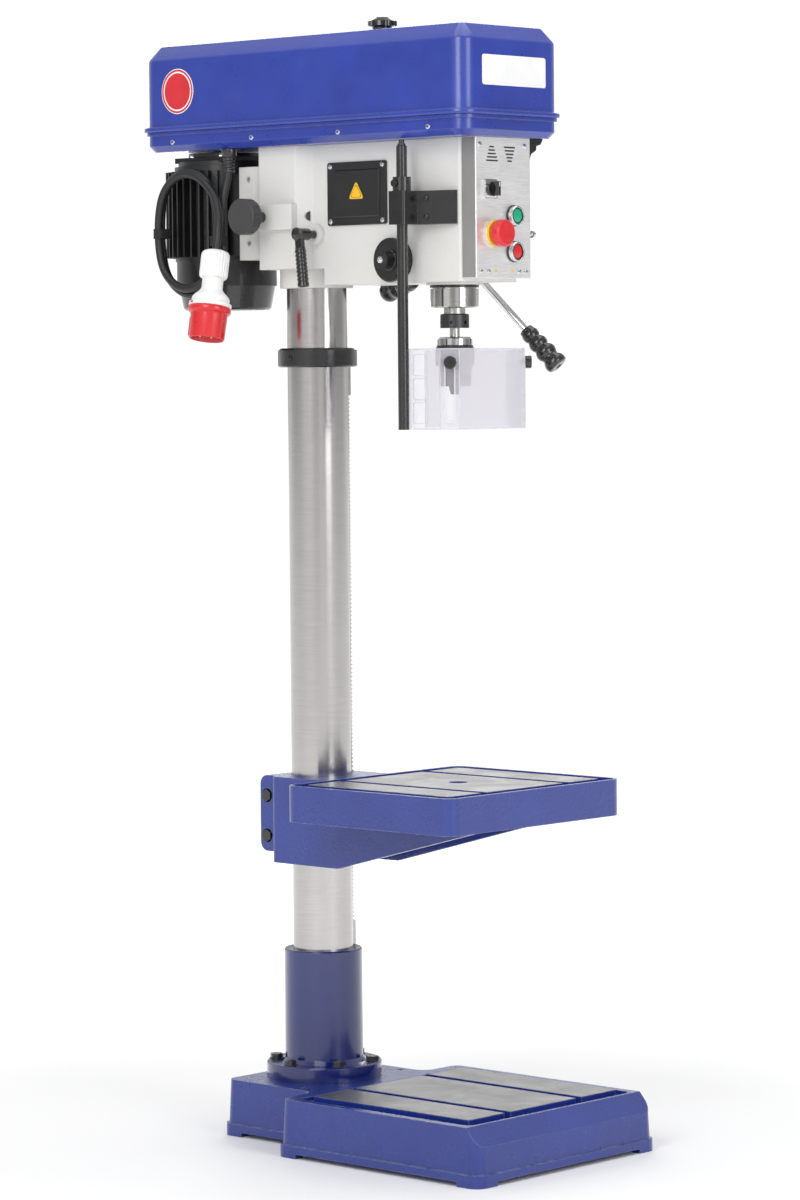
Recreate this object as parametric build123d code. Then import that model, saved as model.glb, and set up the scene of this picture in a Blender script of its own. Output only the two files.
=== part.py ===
from build123d import *
import os
from math import atan2, cos, degrees, hypot, pi, sin, sqrt, tan, radians

# Pillar drill press: floor base, round column, rising and swinging table,
# drilling head, belt case, motor carriage, chuck guard and power lead.
# The design is drawn about the column: its axis is X = Y = 0, the floor is
# Z = 0, the operator stands at -Y and +X is the operator's right hand.
# Every solid is moved once, when it is written, so that the origin is on the
# floor at the middle of the machine's box.

# Clearances
RUN = 0.05            # radial, shaft or slide in its bore
FIT = 0.02            # radial, seated fit
GAP = 0.3             # between faces that pass each other
OPEN_FIT = 0.5        # bolts and screws in their holes

# Column, socket and rack
COLUMN_D = 92.0
COLUMN_TOP = 1500.0
SOCKET_D = 120.0
SOCKET_TOP = 284.0
FLANGE_D = 177.0
FLANGE_THICK = 24.0
SOCKET_BOLTS = 6
SOCKET_PCD = 152.0
BOLT_D = 10.0
BOLT_FLATS = 17.0
BOLT_HEAD = 7.5
RING_D = 121.0
RING_LOW, RING_HIGH = 1175.0, 1204.0
RACK_ANGLE = -8.0
RACK_WIDTH = 16.0
RACK_THICK = 12.0
RACK_PLAIN = 40.0
MODULE = 2.0

# Base
BASE_HALF = 202.6
BASE_FRONT = -496.0
BASE_STEP = -90.0
REAR_HALF = 130.0
BASE_REAR = 96.0
LIP = 3.5
FOOT_HIGH, LIP_HIGH = 7.0, 19.0
FOOT_LONG = 42.0
DECK_Z = 86.0
BASE_WALL = 11.0
DRAFT = 3.0
PAD_HALF, PAD_FRONT, PAD_BACK = 165.0, -445.0, -136.0
PAD_Z = 90.0
MOAT = 17.0
MOAT_Z = 79.0
ANCHOR_X, ANCHOR_Y, ANCHOR_D = 110.0, -58.0, 10.0
BASE_SLOT_X = 80.0
SLOT_NECK, SLOT_WIDE = 14.0, 24.0
NECK_DEEP, SLOT_DEEP = 11.0, 19.0

# Table and its lift
TABLE_HALF, TABLE_FRONT, TABLE_BACK = 193.0, -439.0, -107.0
TABLE_Z, TABLE_THICK, TABLE_PLATE, TABLE_WALL = 556.0, 54.7, 27.0, 12.0
TABLE_RIM, TABLE_GROOVE, GROOVE_DEEP = 5.0, 20.0, 7.0
TABLE_SLOT_X = 92.0
TABLE_HOLE_D = 28.5
BRACKET_HALF, BRACKET_FRONT, BRACKET_BACK = 72.0, -80.0, 40.0
BRACKET_LOW, BRACKET_HIGH = 419.0, 551.0
BRACKET_WALL = 12.0
EAR_HALF, EAR_BACK, EAR_INSET, SLIT = 55.0, 78.0, 14.0, 3.0
CLAMP_Y = 64.0
CLAMP_Z = (457.0, 519.0)
WEB_THICK, WEB_NOSE_HALF, WEB_NOSE = 10.0, 60.0, -412.0
LIFT_Z = 488.0
PINION_TEETH, GEAR_TEETH = 12, 20
WORM_R = 7.5
CRANK_OUT, CRANK_THROW, GRIP_LONG, GRIP_R = 108.0, 70.0, 50.0, 11.5

# Head casting
HEAD_HALF, HEAD_BACK, HEAD_SHOULDER = 80.0, 46.0, -33.0
NOSE_HALF, NOSE_START, NOSE_FRONT = 62.0, -53.0, -352.0
HEAD_TOP = 1508.0
REAR_LOW, NOSE_LOW = 1323.0, 1298.0
HEAD_WALL = 9.0
COLUMN_BOSS_D, COLUMN_BOSS_LOW = 112.0, 1295.0
LOCK_Y, LOCK_Z = 27.0, 1402.0
LOCK_BOSS = (-35.0, 42.0, 1382.0, 1421.0, 90.0)
TENSION_Y, TENSION_Z = -62.0, 1374.0
ROD_X, ROD_Z, ROD_R = 62.0, 1402.0, 8.0

# Spindle, quill and feed
SPINDLE_Y = -282.0
QUILL_D, QUILL_LOW, QUILL_TOP = 65.0, 1261.0, 1478.0
QUILL_RING_D, QUILL_RING = 72.0, 28.0
QUILL_BOSS_D = 88.0
STROKE = 120.0
SPINDLE_R = 11.0
SPINDLE_NOSE_R, NOSE_Z = 16.0, 1231.0
ARBOR_R, CHUCK_TOP, CHUCK_R, CHUCK_LOW = 7.35, 1218.0, 26.0, 1145.0
JAW_LOW = 1133.0
FEED_TEETH = 29
FEED_Z = 1332.0
FEED_SHAFT_R = 11.0
HUB_R, HUB_START, HUB_END = 27.0, 66.0, 112.0
LEVER_ANGLE, LEVER_LONG, LEVER_LEAN, LEVER_R = 48.6, 218.0, 14.0, 5.5
LEVER_GRIP = 76.0
DRUM_R, DRUM_FACE, DRUM_HUB_R, DRUM_HUB_END = 33.0, 77.0, 12.5, 95.0

# Control panel
PANEL_HALF, PANEL_LOW, PANEL_FRONT = 60.5, 1303.0, -379.3
BUTTON_X, START_Z, STOP_Z = 22.0, 1394.0, 1341.5
ESTOP_X, ESTOP_Z = -22.7, 1367.5
SELECTOR_X, SELECTOR_Z = -32.0, 1432.0
COVER_Y, COVER_Z = (-206.0, -86.0), (1386.0, 1480.0)

# Belt case
CASE_HALF, CASE_FRONT, CASE_BACK, CASE_CORNER = 108.3, -400.0, 266.0, 26.0
CASE_WALL = 3.0
TRAY_CUT = 9.0
RIM_OUT, RIM_Z, RIM_THICK = 8.0, 1537.8, 8.0
SHOULDER_Z, CASE_TOP, SHOULDER_IN = 1648.7, 1670.8, 20.0
KNOB_Y, KNOB_R, KNOB_TOP = -141.0, 22.0, 1697.0
IDLER_Y = -60.0
PULLEY_LOW, STEP_HIGH, BELT_WIDE, BELT_THICK = 1526.0, 24.0, 12.0, 8.0
SPINDLE_STEPS = (75.0, 65.0, 55.0, 45.0)
IDLER_STEPS = (38.0, 48.0, 57.0, 65.0)
MOTOR_STEPS = (54.0, 46.0, 39.0, 32.0)
FRONT_BELT_STEP, REAR_BELT_STEP = 0, 3

# Motor and its carriage
MOTOR_Y, MOTOR_R, FIN_R = 193.0, 80.0, 94.0
MOTOR_LOW, MOTOR_HIGH = 1340.0, 1486.0
BELL_R, BELL_LOW = 78.0, 1302.0
COWL_R, COWL_LOW_R, COWL_LOW = 75.0, 68.0, 1265.0
MOTOR_SHAFT_R = 12.0
MOUNT_HALF, MOUNT_FRONT, MOUNT_BACK = 75.0, 49.0, 99.0
MOUNT_LOW, MOUNT_HIGH = 1339.0, 1480.0
TENSION_TRAVEL = 15.0

# Chuck guard
GUARD_X, GUARD_Y, GUARD_R = -100.0, -270.0, 8.0
GUARD_LOW, GUARD_HIGH = 1082.0, 1201.0
GUARD_ROD_TOP = 1497.0
CLAMP_LOW, CLAMP_HIGH = 1382.0, 1431.0
SHEET = 3.0
GUARD_SIDE, GUARD_FRONT, GUARD_CHAMFER = 92.0, -355.0, 20.0
SHIELD_DROP = 80.0

# Power lead: its route is chosen by hand from the gland down to the coil
CORD_D = 12.5
CORD_EXIT = (-92.0, 94.0, 1498.0)
LEAD_ROUTE = (CORD_EXIT, (-93.0, 94.5, 1472.0), (-97.5, 97.5, 1446.0),
              (-105.0, 101.0, 1420.0), (-111.0, 100.5, 1394.0))
COIL_X, COIL_Y, COIL_Z = -111.0, 160.5, 1384.0
COIL_WIDE, COIL_TALL, COIL_THICK = 144.0, 211.0, 25.0
TAIL_TOP, PLUG_TOP = (-119.0, 102.0, 1452.0), (-146.0, 71.0, 1346.0)
PLUG_TILT = (-2.5, 12.0)

FRAME_SHIFT = -(BASE_FRONT + MOTOR_Y + FIN_R) / 2
nodes = {}


def block(x, y, z):
    """A box between the low and high values given for each axis."""
    low = [min(pair) for pair in (x, y, z)]
    size = [abs(pair[1] - pair[0]) for pair in (x, y, z)]
    return Pos(*low) * Box(*size, align=(Align.MIN,) * 3)


def rod(axis, at, ends, radius):
    """A cylinder along one axis, centred on the other two coordinates."""
    start, end = min(ends), max(ends)
    pin = Cylinder(radius, end - start, align=(Align.CENTER, Align.CENTER, Align.MIN))
    if axis == "X":
        return Pos(start, at[0], at[1]) * Rot(0, 90, 0) * pin
    if axis == "Y":
        return Pos(at[0], start, at[1]) * Rot(-90, 0, 0) * pin
    return Pos(at[0], at[1], start) * pin


def tube(axis, at, ends, outer, inner):
    """A plain sleeve."""
    return rod(axis, at, ends, outer) - rod(axis, at, ends, inner)


def turned(profile):
    """A body of revolution about Z from (radius, height) points."""
    return revolve(make_face(Polyline(*[(r, 0, z) for r, z in profile], close=True)), Axis.Z)


def plate(points, z, corner=0.0):
    """A flat plate with the plan outline given, its upright corners rounded."""
    sketch = make_face(Polyline(*points, close=True))
    if corner:
        sketch = fillet(sketch.vertices(), corner)
    return Pos(0, 0, min(z)) * extrude(sketch, abs(z[1] - z[0]))


def side_plate(points, x):
    """A plate upright in the YZ plane with the (y, z) outline given."""
    face = make_face(Polyline(*[(0, y, z) for y, z in points], close=True))
    return Pos(min(x), 0, 0) * extrude(face, abs(x[1] - x[0]), dir=(1, 0, 0))


def hexagon(flats, thick):
    """A hexagonal prism standing on Z = 0."""
    return extrude(RegularPolygon(flats / sqrt(3), 6), thick)


def toothed(teeth, wide, bore=0.0):
    """A spur wheel of the shared module, standing on Z = 0, one tooth on +X."""
    pitch_r = MODULE * teeth / 2
    wheel = Cylinder(pitch_r - 1.25 * MODULE, wide, align=(Align.CENTER, Align.CENTER, Align.MIN))
    root, tip = 0.85 * MODULE, 0.3 * MODULE
    tooth = make_face(Polyline((pitch_r - 1.6 * MODULE, -root), (pitch_r + 0.85 * MODULE, -tip),
                               (pitch_r + 0.85 * MODULE, tip), (pitch_r - 1.6 * MODULE, root), close=True))
    tooth = extrude(tooth, wide)
    for index in range(teeth):
        wheel += Rot(0, 0, 360 * index / teeth) * tooth
    if bore:
        wheel -= Cylinder(bore, wide, align=(Align.CENTER, Align.CENTER, Align.MIN))
    return wheel


def tee_slot(x, y, top):
    """The cutter for a T-slot that runs along Y below a machined face."""
    neck = block((x - SLOT_NECK / 2, x + SLOT_NECK / 2), y, (top - NECK_DEEP, top))
    wide = block((x - SLOT_WIDE / 2, x + SLOT_WIDE / 2), y, (top - SLOT_DEEP, top - NECK_DEEP))
    return neck + wide


def base_outline(inset):
    """The base's plan, drawn in by the inset all round."""
    return ((-BASE_HALF + inset, BASE_FRONT + inset), (BASE_HALF - inset, BASE_FRONT + inset),
            (BASE_HALF - inset, BASE_STEP - inset), (REAR_HALF - inset, BASE_STEP - inset),
            (REAR_HALF - inset, BASE_REAR - inset), (-REAR_HALF + inset, BASE_REAR - inset),
            (-REAR_HALF + inset, BASE_STEP - inset), (-BASE_HALF + inset, BASE_STEP - inset))


def build_base():
    """The hollow base casting with its machined pad, and the column socket."""
    lip = plate(base_outline(0), (0, LIP_HIGH), 20)
    sketch = fillet(make_face(Polyline(*base_outline(LIP), close=True)).vertices(), 18)
    body = Pos(0, 0, LIP_HIGH) * extrude(sketch, DECK_Z - LIP_HIGH, taper=DRAFT)
    base = lip + body
    nose = side_plate(((BASE_FRONT - 5, 46), (BASE_FRONT + 30, DECK_Z + 1), (BASE_FRONT - 5, DECK_Z + 1)),
                      (-BASE_HALF, BASE_HALF))
    base -= nose
    moat = block((-PAD_HALF - MOAT, PAD_HALF + MOAT), (PAD_FRONT - MOAT, PAD_BACK + MOAT), (MOAT_Z, PAD_Z))
    base -= fillet(moat.edges().filter_by(Axis.Z), 14)
    base += block((-PAD_HALF, PAD_HALF), (PAD_FRONT, PAD_BACK), (MOAT_Z, PAD_Z))
    inset = LIP + BASE_WALL + 2
    base -= plate(base_outline(inset), (-1, MOAT_Z - SLOT_DEEP))
    hollow = block((-REAR_HALF + inset, REAR_HALF - inset), (PAD_BACK + MOAT + BASE_WALL, BASE_REAR - inset),
                   (0, DECK_Z - BASE_WALL))
    base -= hollow
    for side in (-1, 1):
        slot = tee_slot(side * BASE_SLOT_X, (PAD_FRONT - MOAT, PAD_BACK + MOAT / 2), PAD_Z)
        base -= slot
        base -= rod("Z", (side * ANCHOR_X, ANCHOR_Y), (0, DECK_Z + 1), ANCHOR_D / 2)
    foot_gaps = ((-BASE_HALF + FOOT_LONG, BASE_HALF - FOOT_LONG, BASE_FRONT - 1, BASE_FRONT + 60),
                 (-REAR_HALF + FOOT_LONG, REAR_HALF - FOOT_LONG, BASE_REAR - 60, BASE_REAR + 1),
                 (-BASE_HALF - 1, BASE_HALF + 1, BASE_FRONT + FOOT_LONG, BASE_STEP - FOOT_LONG),
                 (-BASE_HALF - 1, BASE_HALF + 1, BASE_STEP, BASE_REAR - FOOT_LONG))
    for x_low, x_high, y_low, y_high in foot_gaps:
        base -= block((x_low, x_high), (y_low, y_high), (-1, FOOT_HIGH))
    for index in range(SOCKET_BOLTS):
        angle = radians(60 * index)
        spot = (SOCKET_PCD / 2 * cos(angle), SOCKET_PCD / 2 * sin(angle))
        base -= rod("Z", spot, (DECK_Z - BASE_WALL - 1, DECK_Z + 1), BOLT_D / 2 + FIT)
    nodes["base_casting"] = base

    bore = COLUMN_D / 2 + FIT
    profile = ((bore, DECK_Z), (FLANGE_D / 2, DECK_Z), (FLANGE_D / 2, DECK_Z + FLANGE_THICK - 2),
               (FLANGE_D / 2 - 2, DECK_Z + FLANGE_THICK), (SOCKET_D / 2 + 6, DECK_Z + FLANGE_THICK),
               (SOCKET_D / 2, DECK_Z + FLANGE_THICK + 6), (SOCKET_D / 2, SOCKET_TOP - 2),
               (SOCKET_D / 2 - 2, SOCKET_TOP), (bore, SOCKET_TOP))
    socket = turned(profile)
    bolts = Part()
    for index in range(SOCKET_BOLTS):
        angle = radians(60 * index)
        spot = (SOCKET_PCD / 2 * cos(angle), SOCKET_PCD / 2 * sin(angle))
        socket -= rod("Z", spot, (DECK_Z - 1, DECK_Z + FLANGE_THICK + 1), BOLT_D / 2 + OPEN_FIT)
        head = Pos(*spot, DECK_Z + FLANGE_THICK) * hexagon(BOLT_FLATS, BOLT_HEAD)
        bolts += head + rod("Z", spot, (DECK_Z - BASE_WALL - 8, DECK_Z + FLANGE_THICK), BOLT_D / 2)
    nodes["column_socket"] = socket
    nodes["socket_bolts"] = bolts


def polar(radial, tangent, z):
    """A point in the frame of the rack: outwards, sideways and up."""
    angle = radians(RACK_ANGLE)
    return (radial * cos(angle) - tangent * sin(angle), radial * sin(angle) + tangent * cos(angle), z)


def build_column():
    """The column, the rack that lies along it and the ring that holds the rack's top."""
    column = tube("Z", (0, 0), (DECK_Z, COLUMN_TOP), COLUMN_D / 2, COLUMN_D / 2 - 6)
    nodes["column_tube"] = column
    profile = ((COLUMN_D / 2 + FIT, RING_LOW), (RING_D / 2 - 2, RING_LOW), (RING_D / 2, RING_LOW + 2),
               (RING_D / 2, RING_HIGH - 3), (RING_D / 2 - 3, RING_HIGH), (COLUMN_D / 2 + FIT, RING_HIGH))
    ring = turned(profile)
    ring -= rod("X", (0, (RING_LOW + RING_HIGH) / 2), (-RING_D / 2 - 1, -COLUMN_D / 2), 4)
    nodes["rack_ring"] = ring
    low, high = SOCKET_TOP + GAP, RING_LOW - GAP
    reach = COLUMN_D / 2 + RACK_THICK
    rack = block((COLUMN_D / 2 - 4, reach), (-RACK_WIDTH / 2, RACK_WIDTH / 2), (low, high))
    rack -= rod("Z", (0, 0), (low - 1, high + 1), COLUMN_D / 2 + GAP)
    pitch = pi * MODULE
    first = int((low + RACK_PLAIN - LIFT_Z) / pitch)
    last = int((high - RACK_PLAIN - LIFT_Z) / pitch)
    gap_face = make_face(Polyline((reach - 2.25 * MODULE, 0, -0.9 * MODULE), (reach + 1, 0, -1.9 * MODULE),
                                  (reach + 1, 0, 1.9 * MODULE), (reach - 2.25 * MODULE, 0, 0.9 * MODULE),
                                  close=True))
    cutter = Pos(0, -RACK_WIDTH / 2 - 1, 0) * extrude(gap_face, RACK_WIDTH + 2, dir=(0, 1, 0))
    cutters = [Pos(0, 0, LIFT_Z + pitch * index) * cutter for index in range(first, last + 1)]
    nodes["column_rack"] = Rot(0, 0, RACK_ANGLE) * (rack - cutters)


def build_table():
    """The table, its bracket and clamp bolts, and the gears that raise it."""
    top = block((-TABLE_HALF, TABLE_HALF), (TABLE_FRONT, TABLE_BACK), (TABLE_Z - TABLE_THICK, TABLE_Z))
    top = fillet(top.edges().filter_by(Axis.Z), 20)
    groove = block((-TABLE_HALF + TABLE_RIM, TABLE_HALF - TABLE_RIM),
                   (TABLE_FRONT + TABLE_RIM, TABLE_BACK - TABLE_RIM), (TABLE_Z - GROOVE_DEEP, TABLE_Z + 1))
    groove = fillet(groove.edges().filter_by(Axis.Z), 14)
    pad = block((-TABLE_HALF + TABLE_RIM + TABLE_GROOVE, TABLE_HALF - TABLE_RIM - TABLE_GROOVE),
                (TABLE_FRONT + TABLE_RIM + TABLE_GROOVE, TABLE_BACK - TABLE_RIM - TABLE_GROOVE),
                (TABLE_Z - GROOVE_DEEP, TABLE_Z + 1))
    top -= groove - fillet(pad.edges().filter_by(Axis.Z), 4)
    top -= block((-TABLE_HALF + TABLE_WALL, TABLE_HALF - TABLE_WALL),
                 (TABLE_FRONT + TABLE_WALL, TABLE_BACK - TABLE_WALL), (0, TABLE_Z - TABLE_PLATE))

    bracket = block((-BRACKET_HALF, BRACKET_HALF), (BRACKET_FRONT, BRACKET_BACK), (BRACKET_LOW, BRACKET_HIGH))
    bracket = fillet(bracket.edges().filter_by(Axis.Z), 10)
    inner = block((-BRACKET_HALF + BRACKET_WALL, BRACKET_HALF - BRACKET_WALL),
                  (BRACKET_FRONT, BRACKET_BACK - BRACKET_WALL), (BRACKET_LOW - 1, BRACKET_HIGH - BRACKET_WALL))
    bracket -= inner - rod("Z", (0, 0), (0, BRACKET_HIGH), COLUMN_D / 2 + 15)
    ears = block((-EAR_HALF, EAR_HALF), (0, EAR_BACK), (BRACKET_LOW + EAR_INSET, BRACKET_HIGH - 1))
    ears = fillet(ears.edges().filter_by(Axis.X).group_by(Axis.Y)[-1], 14)
    bracket += ears
    neck = block((-BRACKET_HALF, BRACKET_HALF), (TABLE_BACK - TABLE_WALL, BRACKET_FRONT + 12),
                 (BRACKET_HIGH - TABLE_THICK, BRACKET_HIGH))
    bracket += neck
    outline = ((BRACKET_FRONT + 12, BRACKET_LOW), (BRACKET_FRONT - 20, BRACKET_LOW), (WEB_NOSE, TABLE_Z - TABLE_THICK),
               (WEB_NOSE, TABLE_Z - TABLE_PLATE), (BRACKET_FRONT + 12, TABLE_Z - TABLE_PLATE))
    web = side_plate(outline, (-BRACKET_HALF, BRACKET_HALF))
    wide, narrow = BRACKET_HALF, WEB_NOSE_HALF
    span = ((-wide, BRACKET_FRONT + 12), (-wide, BRACKET_FRONT - 20), (-narrow, WEB_NOSE),
            (narrow, WEB_NOSE), (wide, BRACKET_FRONT - 20), (wide, BRACKET_FRONT + 12))
    wide, narrow = BRACKET_HALF - WEB_THICK, WEB_NOSE_HALF - WEB_THICK
    hollow = ((-wide, 1), (-wide, BRACKET_FRONT - 20), (-narrow, WEB_NOSE - 1),
              (narrow, WEB_NOSE - 1), (wide, BRACKET_FRONT - 20), (wide, 1))
    height = (BRACKET_LOW - 1, BRACKET_HIGH)
    webs = (web & plate(span, height)) - plate(hollow, height)
    table = top + bracket + webs

    turn = Rot(0, 0, RACK_ANGLE)
    side = COLUMN_D / 2
    table += turn * block((side - 6, side + 52), (-18, 38), (LIFT_Z - 52, LIFT_Z + 28))
    table -= turn * block((side - 2, side + 47), (-13, 31), (LIFT_Z - 47, LIFT_Z + 24))
    table -= rod("Z", (0, 0), (0, TABLE_Z), side + RUN)
    reach = side + RACK_THICK + GAP
    table -= turn * block((side - 6, reach), (-RACK_WIDTH / 2 - GAP, RACK_WIDTH / 2 + GAP), (0, TABLE_Z))
    table -= block((-SLIT, SLIT), (0, EAR_BACK + 1), (0, TABLE_Z))
    bolts = Part()
    for z in CLAMP_Z:
        table -= rod("X", (CLAMP_Y, z), (-EAR_HALF - 1, EAR_HALF + 1), BOLT_D / 2 + OPEN_FIT)
        table -= rod("X", (CLAMP_Y, z), (-EAR_HALF - 1, -EAR_HALF + 5), BOLT_FLATS / sqrt(3) + 1)
        bolt = rod("X", (CLAMP_Y, z), (-EAR_HALF + 5, EAR_HALF + 16), BOLT_D / 2)
        bolt += Pos(-EAR_HALF + 5 - BOLT_HEAD, CLAMP_Y, z) * Rot(0, 90, 0) * hexagon(BOLT_FLATS, BOLT_HEAD)
        nut = Pos(EAR_HALF, CLAMP_Y, z) * Rot(0, 90, 0) * hexagon(BOLT_FLATS, 8)
        bolts += bolt + nut
    nodes["clamp_bolts"] = bolts
    pinion_x = COLUMN_D / 2 + RACK_THICK - MODULE + MODULE * PINION_TEETH / 2
    worm_z = LIFT_Z - MODULE * GEAR_TEETH / 2 - 10.5
    gear_mid = 18.0
    table -= turn * rod("Y", (pinion_x, LIFT_Z), (-16, 36), 6 + RUN)
    table -= turn * rod("X", (gear_mid, worm_z), (side + 44, side + 54), 6 + RUN)
    table -= rod("Z", (0, SPINDLE_Y), (0, TABLE_Z + 1), TABLE_HOLE_D / 2)
    for hand in (-1, 1):
        inset = TABLE_RIM + 1
        table -= tee_slot(hand * TABLE_SLOT_X, (TABLE_FRONT + inset, TABLE_BACK - inset), TABLE_Z)
    nodes["table_casting"] = table

    shaft = rod("Z", (0, 0), (-15, 35), 6)
    train = shaft + Pos(0, 0, -8) * toothed(PINION_TEETH, 16) + Pos(0, 0, gear_mid - 6) * toothed(GEAR_TEETH, 12)
    place = Pos(pinion_x, 0, LIFT_Z) * Rot(-90, 0, 0) * Rot(0, 0, 180)
    nodes["lift_gears"] = turn * (place * train)
    worm = rod("X", (gear_mid, worm_z), (side + 8, side + 46), WORM_R)
    worm += rod("X", (gear_mid, worm_z), (side + 46, CRANK_OUT + 14), 6)
    arm_end = gear_mid + CRANK_THROW
    arm = rod("X", (gear_mid, worm_z), (CRANK_OUT, CRANK_OUT + 14), 13)
    arm += rod("X", (arm_end, worm_z), (CRANK_OUT + 4, CRANK_OUT + 14), 10)
    arm += block((CRANK_OUT + 4, CRANK_OUT + 12), (gear_mid, arm_end), (worm_z - 8, worm_z + 8))
    arm -= rod("X", (gear_mid, worm_z), (0, CRANK_OUT + 14), 6 + FIT)
    arm += rod("X", (arm_end, worm_z), (CRANK_OUT + 14, CRANK_OUT + 14 + GRIP_LONG), 4)
    nodes["table_crank"] = turn * (worm + arm)
    grip = rod("X", (arm_end, worm_z), (CRANK_OUT + 14 + GAP, CRANK_OUT + 14 + GRIP_LONG), GRIP_R)
    grip = fillet(grip.edges(), 4)
    grip -= rod("X", (arm_end, worm_z), (0, CRANK_OUT + 15 + GRIP_LONG), 4 + RUN)
    nodes["crank_grip"] = turn * grip


def head_outline(inset):
    """The head's plan, drawn in by the inset at the sides and the back."""
    rear, nose = HEAD_HALF - inset, NOSE_HALF - inset
    return ((-nose, NOSE_FRONT), (nose, NOSE_FRONT), (nose, NOSE_START), (rear, HEAD_SHOULDER),
            (rear, HEAD_BACK - inset), (-rear, HEAD_BACK - inset), (-rear, HEAD_SHOULDER), (-nose, NOSE_START))


def build_head():
    """The head casting: a shell with bores for the column, the quill and the feed shaft."""
    head = plate(head_outline(0), (NOSE_LOW, HEAD_TOP), 5)
    step_y = NOSE_START - 22
    head -= block((-HEAD_HALF - 1, HEAD_HALF + 1), (step_y, HEAD_BACK + 1), (NOSE_LOW - 1, REAR_LOW))
    lock_y0, lock_y1, lock_z0, lock_z1, lock_x = LOCK_BOSS
    for side in (-1, 1):
        head += block((side * (HEAD_HALF - 5), side * lock_x), (lock_y0, lock_y1), (lock_z0, lock_z1))
    top = HEAD_TOP - HEAD_WALL
    cavity = plate(head_outline(HEAD_WALL), (REAR_LOW + HEAD_WALL, top))
    cavity += block((-NOSE_HALF + HEAD_WALL, NOSE_HALF - HEAD_WALL), (NOSE_FRONT - 1, step_y - HEAD_WALL),
                    (NOSE_LOW + HEAD_WALL, top))
    keep = rod("Z", (0, 0), (REAR_LOW, HEAD_TOP), COLUMN_D / 2 + 8)
    keep += rod("Z", (0, SPINDLE_Y), (NOSE_LOW, HEAD_TOP), QUILL_BOSS_D / 2)
    for side in (-1, 1):
        keep += rod("Y", (side * ROD_X, ROD_Z), (-60, HEAD_BACK), ROD_R + 6)
    keep += rod("X", (TENSION_Y, TENSION_Z), (-HEAD_HALF, -20), 13)
    keep += rod("X", (feed_y(), FEED_Z), (-NOSE_HALF, -22), 18) + rod("X", (feed_y(), FEED_Z), (22, NOSE_HALF), 18)
    head -= cavity - keep
    head += rod("Z", (0, 0), (COLUMN_BOSS_LOW, REAR_LOW + 1), COLUMN_BOSS_D / 2)
    head += rod("Z", (0, SPINDLE_Y), (NOSE_LOW - 3.5, NOSE_LOW + 1), 42)
    head += rod("X", (TENSION_Y, TENSION_Z), (-HEAD_HALF + 10, -NOSE_HALF), 15.5)
    head -= rod("Z", (0, 0), (0, COLUMN_TOP + GAP), COLUMN_D / 2 + FIT)
    head -= rod("Z", (0, SPINDLE_Y), (0, QUILL_TOP + 4), QUILL_D / 2 + RUN)
    head -= rod("Z", (0, SPINDLE_Y), (0, HEAD_TOP + 1), 24 + GAP)
    head -= rod("X", (feed_y(), FEED_Z), (-HEAD_HALF, HEAD_HALF), FEED_SHAFT_R + RUN)
    tip = MODULE * FEED_TEETH / 2 + MODULE
    head -= rod("X", (feed_y(), FEED_Z), (-11, 11), tip + 1)
    head -= rod("X", (TENSION_Y, TENSION_Z), (-HEAD_HALF, -28), 6 + RUN)
    for side in (-1, 1):
        head -= rod("Y", (side * ROD_X, ROD_Z), (-50, HEAD_BACK + 1), ROD_R + RUN)
    head -= rod("X", (LOCK_Y, LOCK_Z), (-lock_x - 1, -ROD_X - ROD_R + 2), 5 + OPEN_FIT)
    nodes["head_casting"] = head


def feed_y():
    """The feed shaft stands behind the quill at its pinion's working distance."""
    return SPINDLE_Y + QUILL_D / 2 - MODULE + MODULE * FEED_TEETH / 2


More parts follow.
